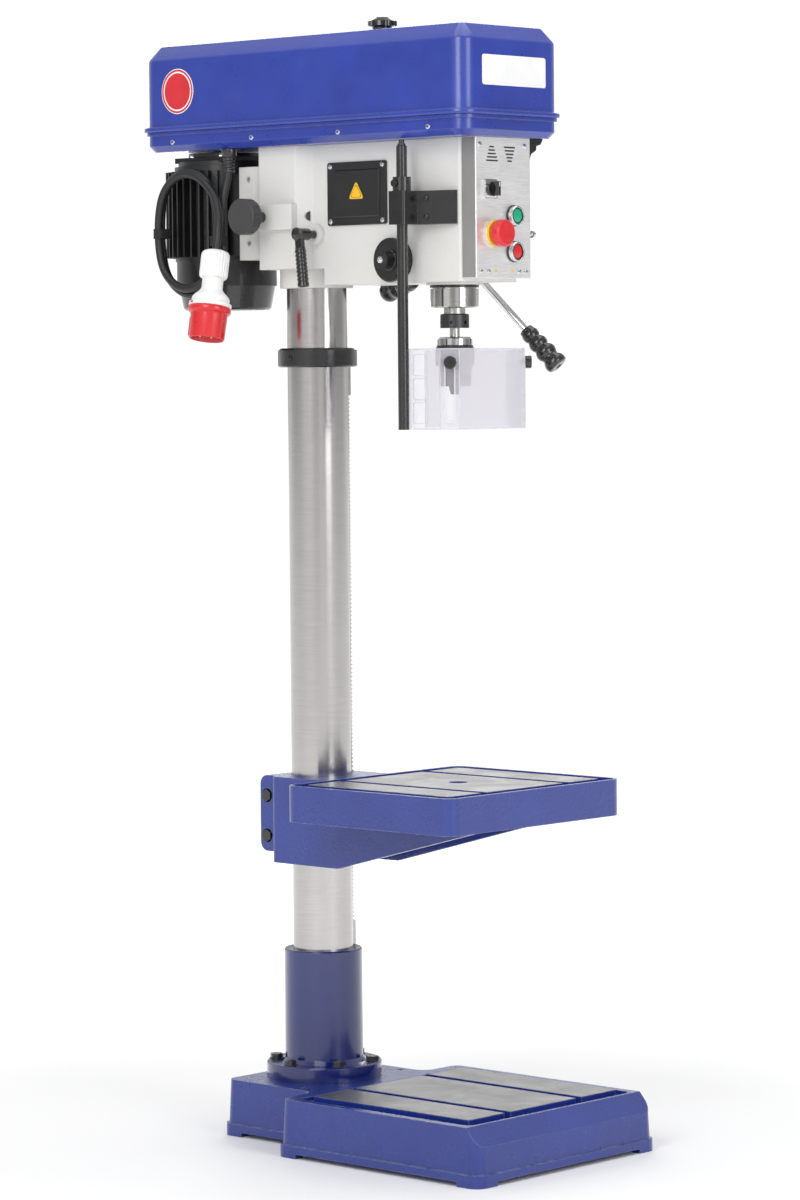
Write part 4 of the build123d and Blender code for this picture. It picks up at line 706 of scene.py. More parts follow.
def tube_along(points: Sequence[Vector], radius: float, count: int = 20) -> Shape:
    """A round bar along points given in millimetres, with flat ends."""
    rings = []
    up = Vector((0.31, 0.17, 0.93))
    for index, point in enumerate(points):
        ahead = points[min(index + 1, len(points) - 1)] - points[max(index - 1, 0)]
        side = ahead.cross(up).normalized()
        other = side.cross(ahead).normalized()
        angles = [math.tau * i / count for i in range(count)]
        rings.append([point + radius * (math.cos(angle) * side + math.sin(angle) * other) for angle in angles])
    return Shape.empty().loft(rings)


def hex_head(flats: float, height: float) -> Shape:
    """A hexagon head with its upper corners eased off."""
    reach = flats / math.sqrt(3)
    outline = [(reach * math.cos(math.pi / 3 * i), reach * math.sin(math.pi / 3 * i)) for i in range(6)]
    return slab(outline, 0, height, 0.9)


def pan_head(radius: float) -> Shape:
    """A domed screw head with a six-sided socket."""
    rings = [circle(radius, 0, 36), circle(radius, 0.35 * radius, 36),
             circle(0.86 * radius, 0.62 * radius, 36),
             circle(0.6 * radius, 0.72 * radius, 36)]
    rings += [circle(0.48 * radius, 0.72 * radius, 36), circle(0.44 * radius, 0.25 * radius, 36)]
    return Shape.empty().loft(rings)


def put(obj: bpy.types.Object, look: Look, body: str, *nodes: str) -> bpy.types.Object:
    """Gives a new piece its finish and its body.

    Args:
        obj: the piece, in place.
        look: its finish.
        body: the body it rides on.
        *nodes: the frame's nodes it stands for.

    Returns:
        The piece.
    """
    obj.data.materials.clear()
    obj.data.materials.append(look.value.material())
    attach(obj, body)
    if nodes:
        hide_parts(*nodes)
    LOG.info("%s rides on %s", obj.name, body)
    return obj


@dataclass
class Assembly:
    """A part of the machine that dresses nodes of the frame and adds pieces to them.

    Attributes:
        nodes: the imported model's objects by name.
    """

    nodes: dict[str, bpy.types.Object]

    def dress(self, look: Look, *names: str) -> None:
        """Gives nodes of the frame a finish."""
        for name in names:
            slots = self.nodes[name].data.materials
            slots.clear()
            slots.append(look.value.material())
            LOG.info("%s keeps its shape in %s", name, look.value.name)

    def build(self) -> None:
        """Makes everything that belongs to the assembly."""
        raise NotImplementedError


# ---------------------------------------------------------------- the machine


@dataclass
class Studio:
    """The pale floor, the soft lights and the camera.

    Attributes:
        stand: where the camera is, in metres in the row frame.
        azimuth: degrees that the camera looks round from +Y.
        elevation: degrees that it looks down.
        roll: degrees that it leans.
        lens: focal length in millimetres on a 36 mm sensor.
        glow: distances in metres over which the floor turns to white.
    """

    stand: tuple[float, float, float] = (-4.5827, -4.2912, 1.1727)
    azimuth: float = -47.3
    elevation: float = 3.2
    roll: float = -0.5
    lens: float = 124.5
    glow: tuple[float, float] = (0.7, 3.4)

    def camera(self) -> None:
        """Sets up the camera."""
        azimuth, elevation, roll = (math.radians(value) for value in (self.azimuth, self.elevation,
                                                                      self.roll))
        back = Vector((math.sin(azimuth) * math.cos(elevation), -math.cos(azimuth) * math.cos(elevation),
                       math.sin(elevation)))
        right = Vector((math.cos(azimuth), math.sin(azimuth), 0))
        up = back.cross(right)
        across = math.cos(roll) * right + math.sin(roll) * up
        over = -math.sin(roll) * right + math.cos(roll) * up
        data = bpy.data.cameras.new("camera")
        data.lens, data.sensor_width, data.sensor_fit = self.lens, 36.0, "AUTO"
        data.clip_start, data.clip_end = 0.1, 60.0
        camera = bpy.data.objects.new("camera", data)
        turned = Matrix((across, over, back)).transposed().to_4x4()
        camera.matrix_world = Matrix.Translation(Vector(self.stand)) @ turned
        bpy.context.scene.collection.objects.link(camera)
        bpy.context.scene.camera = camera

    def floor(self) -> None:
        """Lays the pale floor."""
        graph = NodeGraph("studio_floor")
        graph.set(Base_Color=(0.93, 0.93, 0.93, 1.0), Roughness=0.8, Emission_Color=(1.0, 1.0, 1.0, 1.0))
        away = graph.add("ShaderNodeVectorMath", operation="LENGTH")
        graph.link(graph.place(), away.inputs[0])
        graph.paint("Emission Strength", graph.spread(away.outputs["Value"], *self.glow, 0.02, 0.55))
        shape = Shape.empty()
        shape.cap(shape.ring([(-60, -60, 0), (60, -60, 0), (60, 60, 0), (-60, 60, 0)]))
        floor = shape.made("studio_floor", Matrix.Identity(4))
        floor.data.materials.append(graph.material)

    def lamp(self, name: str, place: tuple[float, float, float], aim: tuple[float, float, float],
             size: tuple[float, float], power: float) -> None:
        """Adds a soft rectangular light.

        Args:
            name: the light's name.
            place: where it stands, in metres.
            aim: the point it faces.
            size: width and height in metres.
            power: in watts.
        """
        data = bpy.data.lights.new(name, "AREA")
        data.shape, data.size, data.size_y, data.energy = "RECTANGLE", *size, power
        lamp = bpy.data.objects.new(name, data)
        lamp.location = place
        lamp.rotation_euler = (Vector(aim) - Vector(place)).to_track_quat("-Z", "Y").to_euler()
        bpy.context.scene.collection.objects.link(lamp)

    def sky(self) -> None:
        """A pale surround with darker upright bands, so that metal has something to mirror."""
        world = bpy.data.worlds.new("studio")
        bpy.context.scene.world = world
        world.use_nodes = True
        tree = world.node_tree
        shade = tree.nodes["Background"]
        coords = tree.nodes.new("ShaderNodeTexCoord")
        across = tree.nodes.new("ShaderNodeVectorMath")
        across.operation = "DOT_PRODUCT"
        azimuth = math.radians(self.azimuth)
        across.inputs[1].default_value = (math.cos(azimuth), math.sin(azimuth), 0.0)
        tree.links.new(coords.outputs["Generated"], across.inputs[0])
        spread = tree.nodes.new("ShaderNodeMapRange")
        spread.inputs["From Min"].default_value = -1.0
        tree.links.new(across.outputs["Value"], spread.inputs["Value"])
        ramp = tree.nodes.new("ShaderNodeValToRGB")
        bands = ((0.0, 0.30), (0.10, 0.95), (0.24, 1.0), (0.36, 0.42), (0.48, 0.40), (0.60, 0.95),
                 (0.72, 0.50),
                 (0.86, 1.0), (1.0, 0.25))
        while len(ramp.color_ramp.elements) < len(bands):
            ramp.color_ramp.elements.new(0.5)
        for element, (position, level) in zip(ramp.color_ramp.elements, bands):
            element.position = position
            element.color = (level, level, level, 1.0)
        tree.links.new(spread.outputs["Result"], ramp.inputs["Fac"])
        rays = tree.nodes.new("ShaderNodeLightPath")
        seen = tree.nodes.new("ShaderNodeMix")
        seen.data_type = "RGBA"
        tree.links.new(rays.outputs["Is Camera Ray"], seen.inputs["Factor"])
        tree.links.new(ramp.outputs["Color"], seen.inputs[6])
        seen.inputs[7].default_value = (1.3, 1.3, 1.3, 1.0)
        tree.links.new(seen.outputs[2], shade.inputs["Color"])
        shade.inputs["Strength"].default_value = 0.80

    def build(self) -> None:
        """Camera first, then surround, floor and lights."""
        self.camera()
        bpy.context.scene.view_settings.view_transform = "Standard"
        self.sky()
        self.floor()
        self.lamp("key", (-3.4, -1.2, 2.9), (0, 0, 1.1), (1.6, 2.6), 62)
        self.lamp("front", (-0.6, -4.2, 2.2), (0, 0, 1.0), (1.6, 2.4), 46)
        self.lamp("rear_fill", (2.6, 2.4, 2.4), (0, 0, 1.0), (2.0, 2.4), 40)
        self.lamp("top", (0.1, -0.2, 3.6), (0, 0, 0), (2.4, 2.4), 30)


@dataclass
class PowerLead(Assembly):
    """The lead from its gland through two loose loops to the plug.

    Attributes:
        thick: the lead's diameter.
        length: its real length in metres; not used.
        exit: where it leaves the belt case.
        drop: the listed points of the run down beside the motor.
        loop_centre: middle of the loops (x, y, z).
        loops: half width, half height and x of each turn.
        tail: the listed points from the loops down to the plug.
        plug_top: where the lead enters the plug.
        plug_tilt: how far the plug hangs out of plumb about X and Y, in degrees.
    """

    thick: float = 12.5
    length: float = 1.17
    exit: tuple[float, float, float] = (-92.0, 94.0, 1498.0)
    drop: tuple[tuple[float, float, float], ...] = ((-93.0, 94.5, 1472.0), (-97.5, 97.5, 1446.0),
                                                    (-104.0, 99.5, 1420.0))
    loop_centre: tuple[float, float, float] = (-111.0, 160.5, 1384.0)
    loops: tuple[tuple[float, float, float], ...] = ((62.0, 100.0, -104.9), (61.0, 88.0, -117.6))
    tail: tuple[tuple[float, float, float], ...] = ((-120.0, 99.0, 1440.0), (-127.0, 84.0, 1414.0),
                                                    (-134.5, 75.0, 1396.0), (-140.5, 72.2, 1371.0))
    plug_top: tuple[float, float, float] = (-146.0, 71.0, 1346.0)
    plug_tilt: tuple[float, float] = (-2.5, 12.0)

    def route(self) -> list[Vector]:
        """The lead's control points: the drop, twelve points for each long loop, the tail."""
        points = [at(*self.exit)] + [at(*point) for point in self.drop]
        steps = 12
        for index in range(2 * steps - 2):
            step = index % steps
            share = min(1.0, index / steps)
            wide, tall, x = ((1 - share) * a + share * b for a, b in zip(*self.loops))
            upper = step >= steps // 2
            angle = math.radians(36 * (step - upper))
            side = (tall - wide) * (1 if upper else -1)
            points.append(at(x, self.loop_centre[1] - 1.04 * wide * math.cos(angle),
                             self.loop_centre[2] + side - 1.04 * wide * math.sin(angle)))
        points += [at(*point) for point in self.tail]
        points.append(at(self.plug_top[0] - 0.4, self.plug_top[1], self.plug_top[2] - 2))
        return points

    def lead(self) -> bpy.types.Object:
        """The lead as one smooth curve."""
        data = bpy.data.curves.new("lead", "CURVE")
        data.dimensions, data.bevel_depth, data.bevel_resolution = "3D", self.thick / 2 * MM, 6
        data.resolution_u, data.use_fill_caps = 10, True
        spline = data.splines.new("NURBS")
        points = self.route()
        spline.points.add(len(points) - 1)
        for point, place in zip(spline.points, points):
            point.co = (*place, 1.0)
        spline.order_u = 3
        spline.use_endpoint_u = True
        obj = bpy.data.objects.new("lead", data)
        bpy.context.scene.collection.objects.link(obj)
        return put(obj, Look.RUBBER, "stand", "cord_lead", "cord_coil")

    def relief(self) -> bpy.types.Object:
        """The tapered strain relief under the belt case."""
        inner = self.thick / 2 - 0.2
        profile = [(inner, -26), (inner + 1.6, -26), (inner + 2.2, -24)]
        for index in range(4):
            height = -22 + 5.2 * index
            profile += [(inner + 2.0 + 0.8 * index, height), (inner + 1.1 + 0.8 * index, height + 1.2),
                        (inner + 1.1 + 0.8 * index, height + 2.6),
                        (inner + 2.4 + 0.8 * index, height + 3.8)]
        profile += [(inner + 5.6, 0), (inner + 5.6, 9.8), (inner, 9.8)]
        shape = lathe(profile, 40, closed=True)
        return put(shape.made("lead_strain_relief", set_down(*self.exit), bevel=0.0004), Look.BLACK_GLOSS,
                   "stand",
                   "cord_gland")

    def strap(self, name: str, y: float, z: float, half_y: float, x: float,
              half_x: float) -> bpy.types.Object:
        """A webbing tie round the turns.

        Args:
            name: the piece's name.
            y: middle of the bundle.
            z: middle of the band's height.
            half_y: half of the bundle along Y.
            x: middle of the bundle.
            half_x: half of the bundle along X.

        Returns:
            The band.
        """
        outer = round_rect(half_x + 1.4, half_y + 1.4, 6.5, 6)
        inner = round_rect(half_x, half_y, 5.4, 6)
        rings = [[(px, py, -7.5) for px, py in inner], [(px, py, -7.5) for px, py in outer],
                 [(px, py, 7.5) for px, py in outer], [(px, py, 7.5) for px, py in inner]]
        shape = Shape.empty().loft(rings, closed=True)
        return put(shape.made(name, set_down(x, y, z), bevel=0.0003), Look.WEBBING, "stand")

    def plug(self) -> list[bpy.types.Object]:
        """The five-pin plug: ribbed nut, white body, red flange and shroud, brass pins."""
        place = set_down(*self.plug_top, turn("X", self.plug_tilt[0]), turn("Y", self.plug_tilt[1]))
        nut = [(6.4, 6.5, 0), (10, 6.5, 0), (14, 6.0, 0.2), (18.6, 4.0, 0.5), (21.2, 0.5, 0.9),
               (21.7, -4, 1.4),
               (21.7, -31, 1.4), (21.0, -34.5, 0.7), (19.5, -36.5, 0), (16.5, -37, 0), (6.4, -37, 0)]
        pieces = [put(fluted(nut, 26).made("plug_nut", place, 50), Look.WHITE, "stand")]
        body = [(0, -34), (15.9, -34), (16.1, -38), (16.1, -52), (17.2, -55), (20.5, -59), (25.5, -63.5),
                (28.2, -67),
                (28.6, -69), (28.6, -74.6), (31.2, -75), (32.3, -76), (32.3, -80.5), (31.4, -81.6),
                (0, -81.6)]
        pieces.append(put(lathe(body, 64).made("plug_white_body", place, 40, 0.0003), Look.WHITE, "stand",
                          "plug_body"))
        shell = [(0, -81.7), (31.8, -81.7), (32.5, -82.6), (32.5, -88.4), (31.6, -90.2), (28.8, -92.0),
                 (28.0, -95),
                 (27.1, -129.4), (26.5, -130.8), (25.4, -130.8), (24.7, -129.6), (24.5, -98.5),
                 (23.5, -97.6), (0, -97.6)]
        pieces.append(put(lathe(shell, 64).made("plug_red_shroud", place, 40, 0.0003), Look.RED, "stand",
                          "plug_shroud"))
        key = slab(round_rect(5.5, 2.6, 1.6), -126, -97, 1.2)
        pieces.append(put(key.made("plug_key_ridge", place @ turn("Z", 200) @ shift(0, -27.4, 0)),
                          Look.RED, "stand"))
        for index in range(5):
            angle = math.radians(18 + 72 * index)
            pin = lathe([(0, -97.5), (2.4, -97.5), (2.4, -123.5), (1.8, -125.6), (0, -126.2)], 24)
            spot = shift(15 * math.cos(angle), 15 * math.sin(angle), 0)
            pieces.append(put(pin.made(f"plug_pin_{index + 1}", place @ spot, 50), Look.BRASS, "stand"))
        for index, spin in enumerate((225, 255)):
            latch = slab(round_rect(3.6, 1.4, 0.8), -79.6, -76.6, 0.5)
            spot = turn("Z", spin) @ shift(0, -31.5, 0)
            pieces.append(put(latch.made(f"plug_latch_{index + 1}", place @ spot), Look.RED, "stand"))
        return pieces

    def build(self) -> None:
        """Makes the lead, then all that sits on it."""
        lead = self.lead()
        centre = self.loop_centre
        pieces = [self.relief(), *self.plug(),
                  self.strap("strap_rear", centre[1] + 61.5, centre[2] - 2, 7.4, centre[0] - 0.2, 13.0),
                  self.strap("strap_front", centre[1] - 61.5, centre[2] - 16, 7.4, centre[0] - 0.2, 13.0)]


@dataclass
class BeltCase(Assembly):
    """The belt case's tray and lid, its labels, its knob and the drive inside.

    Attributes:
        half: half of the case's width.
        front: its front face.
        back: its back face.
        corner: radius of its upright corners.
        wall: thickness of the sheet.
        rim_low: underside of the lid's rolled rim.
        rim_high: upper side of the rim.
        rim_out: how far the rim stands out.
        shoulder: height where the sides turn in.
        top: height of the flat top.
        knob_y: where the lid's knob stands.
    """

    half: float = 108.3
    front: float = -400.0
    back: float = 266.0
    corner: float = 26.0
    wall: float = 3.0
    rim_low: float = 1538.1
    rim_high: float = 1545.8
    rim_out: float = 8.0
    shoulder: float = 1648.7
    top: float = 1670.8
    knob_y: float = -141.0

    def section(self, inset: float, height: float) -> list[tuple[float, float, float]]:
        """The lid's plan at one height, drawn in from the sides by the inset."""
        middle, length = (self.front + self.back) / 2, (self.back - self.front) / 2
        radius = max(8.0, self.corner - inset)
        return [(x, y + middle, height) for x,
                y in round_rect(self.half - inset, length - inset, radius, 14)]

    def lid(self) -> bpy.types.Object:
        """The lid as a shell of even thickness with a rolled rim, and the knob's hole."""
        low, high, out = self.rim_low, self.rim_high, self.rim_out
        profile = [(self.wall, low), (-out + 2.2, low), (-out + 0.5, low + 0.5), (-out, low + 2.2),
                   (-out, high - 2.4), (-out + 0.6, high - 0.8), (-out + 2.2, high), (-1.9, high),
                   (-0.6, high + 0.5),
                   (0, high + 2.2), (0, self.shoulder - 3.2), (0.35, self.shoulder - 0.9),
                   (1.5, self.shoulder + 1.4),
                   (17.6, self.top - 2.4), (19.6, self.top - 0.7), (22.6, self.top)]
        inner = [(22.8, self.top - self.wall), (19.0, self.top - self.wall - 1.8),
                 (self.wall + 1.2, self.shoulder - 0.2),
                 (self.wall, self.shoulder - 3.5)]
        shape = Shape.empty()
        outside = [shape.ring(self.section(inset, height)) for inset, height in profile]
        inside = [shape.ring(self.section(inset, height)) for inset, height in inner]
        for first, second in zip(outside, outside[1:]):
            shape.skin(first, second)
        for first, second in zip(inside, inside[1:]):
            shape.skin(first, second)
        shape.skin(inside[-1], outside[0])
        holes = []
        for loop, height in ((outside[-1], self.top), (inside[0], self.top - self.wall)):
            hole = shape.ring([Vector((0, self.knob_y, 0)) + point for point in circle(9.5, height, 32)])
            edges = [shape.mesh.edges.new((hole[i], hole[(i + 1) % 32])) for i in range(32)]
            for index, vert in enumerate(loop):
                after = loop[(index + 1) % len(loop)]
                edges.append(shape.mesh.edges.get((vert, after)) or shape.mesh.edges.new((vert, after)))
            bmesh.ops.triangle_fill(shape.mesh, use_beauty=True, use_dissolve=False, edges=edges)
            holes.append(hole)
        shape.skin(*holes)
        return put(shape.made("case_lid", set_down(0, 0, 0), 22), Look.BLUE_SHEET, "lid", "belt_lid")

    def knuckles(self) -> None:
        """The lid's halves of the two hinges."""
        for side, name in ((-1, "left"), (1, "right")):
            barrel = lathe([(2.8, -7.7), (4.6, -7.7), (5, -7.2), (5, 7.2), (4.6, 7.7), (2.8, 7.7)], 32,
                           closed=True)
            place = set_down(side * 50, self.back + self.rim_out + 5, self.rim_low + 0.7, turn("Y", 90))
            put(barrel.made(f"lid_knuckle_{name}", place), Look.BLACK_SATIN, "lid")

    def labels(self) -> None:
        """The blank nameplate in front, the plain round sticker and the disc pressed into the top."""
        plate = slab(round_rect(70, 22, 4), 0, 0.8, 0.3)
        place = set_down(2, self.front, 1603, turn("X", 90))
        put(plate.made("blank_nameplate", place), Look.LABEL_WHITE, "lid")
        stripe = slab(round_rect(66, 18, 3), 0.8, 0.95)
        put(stripe.made("nameplate_field", place), Look.LABEL_WHITE, "lid")
        spot = set_down(-self.half, 188, 1599, turn("Z", -90), turn("X", 90))
        disc = lathe([(0, 0), (34.5, 0), (34.5, 0.35), (33.9, 0.5), (0, 0.5)], 72)
        put(disc.made("sticker_white", spot), Look.LABEL_WHITE, "lid")
        for name, inner, outer in (("rim", 30.2, 33.2), ("field", 0.0, 27.8)):
            if inner:
                ring = lathe([(inner, 0.4), (outer, 0.4), (outer, 0.62), (inner, 0.62)], 72, closed=True)
            else:
                ring = lathe([(0, 0.4), (outer, 0.4), (outer, 0.62), (0, 0.62)], 72)
            put(ring.made(f"sticker_red_{name}", spot), Look.LABEL_RED, "lid")
        disc = lathe([(0, 0), (44, 0), (43.6, 0.9), (42.0, 1.4), (0, 1.4)], 72)
        put(disc.made("lid_pressing", set_down(0, 25, self.top - 0.05)), Look.BLUE_SHEET, "lid")

    def screws(self) -> None:
        """The pan heads that hold the tray down, under its rim."""
        for side in (-1, 1):
            for index, y in enumerate((-330, -150, 30, 200)):
                place = set_down(side * (self.half - 1.5), y, 1522, facing((side, 0, 0)))
                name = f"tray_screw_{'left' if side < 0 else 'right'}_{index + 1}"
                put(pan_head(4.2).made(name, place, 40), Look.CHROME, "stand")

    def build(self) -> None:
        """Lid, hinges, labels, knob and drive."""
        self.lid()
        self.knuckles()
        self.labels()
        self.screws()
        self.dress(Look.BLUE_SHEET, "belt_tray")
        self.dress(Look.BLACK_GLOSS, "lid_knob")
        self.dress(Look.ALLOY, "spindle_pulley", "idler_pulley", "motor_pulley")
        self.dress(Look.STEEL, "idler_shaft")
        self.dress(Look.RUBBER, "drive_belts")


@dataclass
class DrillHead(Assembly):
    """The head casting with its covers, control panel, feed and chuck.

    Attributes:
        panel_face: front of the control panel.
        panel_half: half of the panel's width.
        panel_low: bottom of the panel.
        panel_high: top of the panel.
        feed_y: axis of the feed shaft.
        feed_z: its height.
        levers: angle of the first lever, then lean and length.
    """

    panel_face: float = -379.3
    panel_half: float = 60.5
    panel_low: float = 1303.0
    panel_high: float = 1507.7
    feed_y: float = -222.5
    feed_z: float = 1332.0
    levers: tuple[float, float, float] = (48.6, 14.0, 218.0)

    def grip(self, index: int) -> None:
        """One feed grip: three swelling ribs and a flared end."""
        angle, lean, length = self.levers
        spin = turn("X", angle + 120 * index)
        place = set_down(0, self.feed_y, self.feed_z, spin, shift(89, 0, 0), turn("Z", lean), turn("X", 90))
        start = length - 76
        profile = [(5.52, start), (9.2, start), (10.6, start + 0.8), (11.2, start + 3.0)]
        for bulge in range(3):
            low, neck, crown = start + 4.5 + 17.5 * bulge, 10.2 + 1.1 * bulge, 13.2 + 1.35 * bulge
            for step in range(9):
                swell = math.sin(math.pi * (step + 0.5) / 9) ** 0.75
                profile.append((neck + (crown - neck) * swell, low + 1.9 * step))
        profile += [(12.6, start + 57.5), (14.0, start + 60), (16.2, start + 64), (17.0, start + 67),
                    (17.0, length - 5.5),
                    (16.2, length - 2.6), (14.2, length - 0.8), (11.5, length), (4.5, length),
                    (3.8, length - 0.8),
                    (3.6, length - 11.8), (5.52, length - 11.9)]
        shape = lathe(profile, 56, closed=True)
        nodes = ("feed_grips",) if index == 0 else ()
        put(shape.made(f"feed_grip_{index + 1}", place, 50), Look.BLACK_GLOSS, "feed", *nodes)

    def dial(self) -> None:
        """The stop dial's end cap on the feed hub, and the spring drum's screw and collar."""
        cap = lathe([(0, 0), (13, 0), (13, 1.4), (12.2, 2.2), (0, 2.2)], 48)
        put(cap.made("hub_end_cap", set_down(112, self.feed_y, self.feed_z, turn("Y", 90)), 40, 0.0003),
            Look.BLACK_SATIN, "feed")
        screw = pan_head(5.5)
        put(screw.made("drum_screw", set_down(-94.8, self.feed_y, self.feed_z, turn("Y", -90)), 40),
            Look.CHROME, "stand")
        collar = lathe([(12.6, 0), (15.5, 0), (15.5, 2.6), (14.6, 3.4), (12.6, 3.4)], 48, closed=True)
        put(collar.made("drum_collar", set_down(-76.9, self.feed_y, self.feed_z, turn("Y", -90)), 40),
            Look.BLACK_SATIN,
            "stand")

    def hazard_plate(self) -> None:
        """A plain yellow triangle on the electrics cover."""
        place = set_down(-67.0, -147.5, 1433.5, turn("Z", -90), turn("X", 90))
        for name, reach, height, look in (("border", 20.5, 0.5, Look.LABEL_DARK),
                                          ("field", 17.6, 0.7, Look.YELLOW),
                                          ("line", 13.6, 0.8, Look.LABEL_DARK),
                                          ("core", 12.6, 0.9, Look.YELLOW)):
            outline = []
            for corner in range(3):
                middle = math.radians(90 + 120 * corner)
                centre = Vector((math.cos(middle), math.sin(middle))) * (reach - 5)
                outline += [tuple(centre + 2.6 * Vector((math.cos(middle + math.radians(s)),
                                                         math.sin(middle + math.radians(s)))))
                            for s in (-60, -30, 0, 30, 60)]
            put(slab(outline, 0, height).made(f"hazard_{name}", place), look, "stand")

    def chart(self) -> None:
        """The bars of the speed chart, the two plain marks and the panel's side strips."""
        place = set_down(0, self.panel_face, 0, turn("X", 90))
        for row in range(5):
            spans = ((-30 - 1.75 * row, -20 + 2.1 * row), (2.2 + 1.95 * row, 26.5 - 1.75 * row))
            for column, (start, end) in enumerate(spans):
                bar = slab(round_rect((end - start) / 2, 1.15, 0.4, 3), 0, 0.25)
                spot = place @ shift((start + end) / 2, 1493.5 - 5.0 * row, 0)
                put(bar.made(f"chart_bar_{column + 1}_{row + 1}", spot), Look.LABEL_DARK, "stand")
        for index, x in enumerate((-17.5, 19.0)):
            mark = slab([(-3, -2.4), (3, -2.4), (0, 3.2)], 0, 0.25)
            put(mark.made(f"panel_mark_{index + 1}", place @ shift(x, 1314, 0)), Look.YELLOW, "stand")
        for side, name in ((-1, "left"), (1, "right")):
            strip = slab(round_rect(12.6, 101.5, 1.0, 3), 0, 0.4)
            spot = set_down(side * self.panel_half, (self.panel_face - 352) / 2,
                            (self.panel_low + self.panel_high) / 2, facing((side, 0, 0)))
            put(strip.made(f"panel_side_{name}", spot), Look.PANEL_SIDE, "stand")

    def controls(self) -> None:
        """Rings on the emergency stop, the buttons' crowns, the selector's face and the side fittings."""
        spot = set_down(-22.7, self.panel_face - 27.0, 1367.5, turn("X", 90))
        for index, radius in enumerate((6.5, 11.5)):
            ring = lathe([(radius - 0.7, -0.3), (radius, 0.55), (radius + 0.7, -0.3)], 56, closed=True)
            put(ring.made(f"stop_head_ring_{index + 1}", spot, 60), Look.RED, "estop_button")
        for name, z, look in (("start", 1394.0, Look.GREEN), ("stop", 1341.5, Look.RED)):
            cap = lathe([(0, 0.9), (5, 0.8), (8.2, 0.35), (9.4, -0.2), (0, -0.25)], 48)
            body = f"{name}_button"
            put(cap.made(f"{name}_crown", set_down(22, self.panel_face - 8.5, z, turn("X", 90)), 50), look,
                body)
            gasket = lathe([(14.6, 0), (15.6, 0), (15.6, 2.6), (14.6, 3.0)], 56, closed=True)
            put(gasket.made(f"{name}_gasket", set_down(22, self.panel_face, z, turn("X", 90))),
                Look.BLACK_SATIN, "stand")
            lip = lathe([(10.8, -0.6), (11.3, -0.6), (11.3, 0.9), (10.8, 0.9)], 56, closed=True)
            put(lip.made(f"{name}_lip", set_down(22, self.panel_face - 8.9, z, turn("X", 90))),
                Look.BLACK_SATIN, "stand")
        pointer = slab(round_rect(0.7, 3.2, 0.3, 3), 0, 0.3)
        put(pointer.made("selector_line", set_down(-32, self.panel_face - 21.4, 1438, turn("X", 90))),
            Look.LABEL_WHITE, "selector")
        face = slab(shrunk(round_rect(14, 14, 3, 4), 1.2), 0, 0.5, 0.2)
        put(face.made("selector_face", set_down(-32, self.panel_face - 4.9, 1432, turn("X", 90))),
            Look.CHROME, "stand")
        nipple = lathe([(0, 0), (3.2, 0), (3.2, 11), (5.4, 11.6), (5.4, 15.4), (3.4, 17.6), (0, 18.2)], 32)
        put(nipple.made("side_screw", set_down(60.4, -371, 1368, turn("Y", 90)), 40), Look.CHROME, "stand")
        gusset = slab([(61, 1507.2), (93, 1507.2), (89, 1501), (79.5, 1498.5), (78.5, 1492), (68, 1486.5),
                       (65, 1481),
                       (62.5, 1471), (61, 1471)], -11, 11, 0.8)
        put(gusset.made("side_gusset", set_down(0, -364, 0, turn("X", 90))), Look.BLACK_SATIN, "stand")

    def tension_grip(self) -> None:
        """The ribbed rubber sleeve on the belt tension lever."""
        profile = [(5.0, -79.6), (7.6, -79.6), (8.9, -78)]
        for index in range(9):
            low = -76 + 6 * index
            profile += [(8.7, low), (8.7, low + 3.4), (7.7, low + 4.2), (7.7, low + 5.4)]
        profile += [(8.4, -22), (7.6, -20.2), (5.0, -20.2)]
        place = set_down(-102, -62, 1374, turn("X", -6))
        put(lathe(profile, 40, closed=True).made("tension_sleeve", place, 40, 0.0003), Look.BLACK_GLOSS,
            "tension_lever")
        cap = lathe([(0, 0), (9.4, 0), (9.8, 0.6), (9.8, 4.6), (8.6, 5.6), (0, 5.6)], 40)
        put(cap.made("tension_hub_cap", set_down(-104, -62, 1374, turn("Y", -90)), 40), Look.BLACK_SATIN,
            "tension_lever")

    def build(self) -> None:
        """Castings, covers, controls, feed and chuck."""
        self.dress(Look.GREY_CAST, "head_casting")
        self.dress(Look.BLACK_CAST, "electrics_cover")
        self.dress(Look.BLACK_SATIN, "spring_drum", "quill_seal")
        self.dress(Look.PANEL, "control_panel")
        self.dress(Look.CHROME, "cover_screws", "switch_bezels", "feed_levers", "feed_hub", "chuck_body")
        self.dress(Look.GREEN, "start_button")
        self.dress(Look.RED, "stop_button", "estop_button")
        self.dress(Look.BLACK_GLOSS, "selector_knob", "tension_lever")
        self.dress(Look.GREY_KNOB, "lock_knob")
        self.dress(Look.POLISHED, "quill")
        self.dress(Look.STEEL, "spindle", "spindle_bearings", "pinion_shaft", "return_spring",
                   "chuck_arbor")
        self.dress(Look.DARK_STEEL, "ejector_nut", "chuck_sleeve", "chuck_jaws")
        self.hazard_plate()
        self.chart()
        self.controls()
        self.tension_grip()
        self.dial()
        collar = lathe([(11.2, 0), (18.2, 0), (20, 1.8), (20, 7.0), (11.2, 7.0)], 56, closed=True)
        put(collar.made("stop_collar", set_down(-22.7, self.panel_face - 7.3, 1367.5, turn("X", -90))),
            Look.YELLOW,
            "stand")
        for index in range(3):
            self.grip(index)


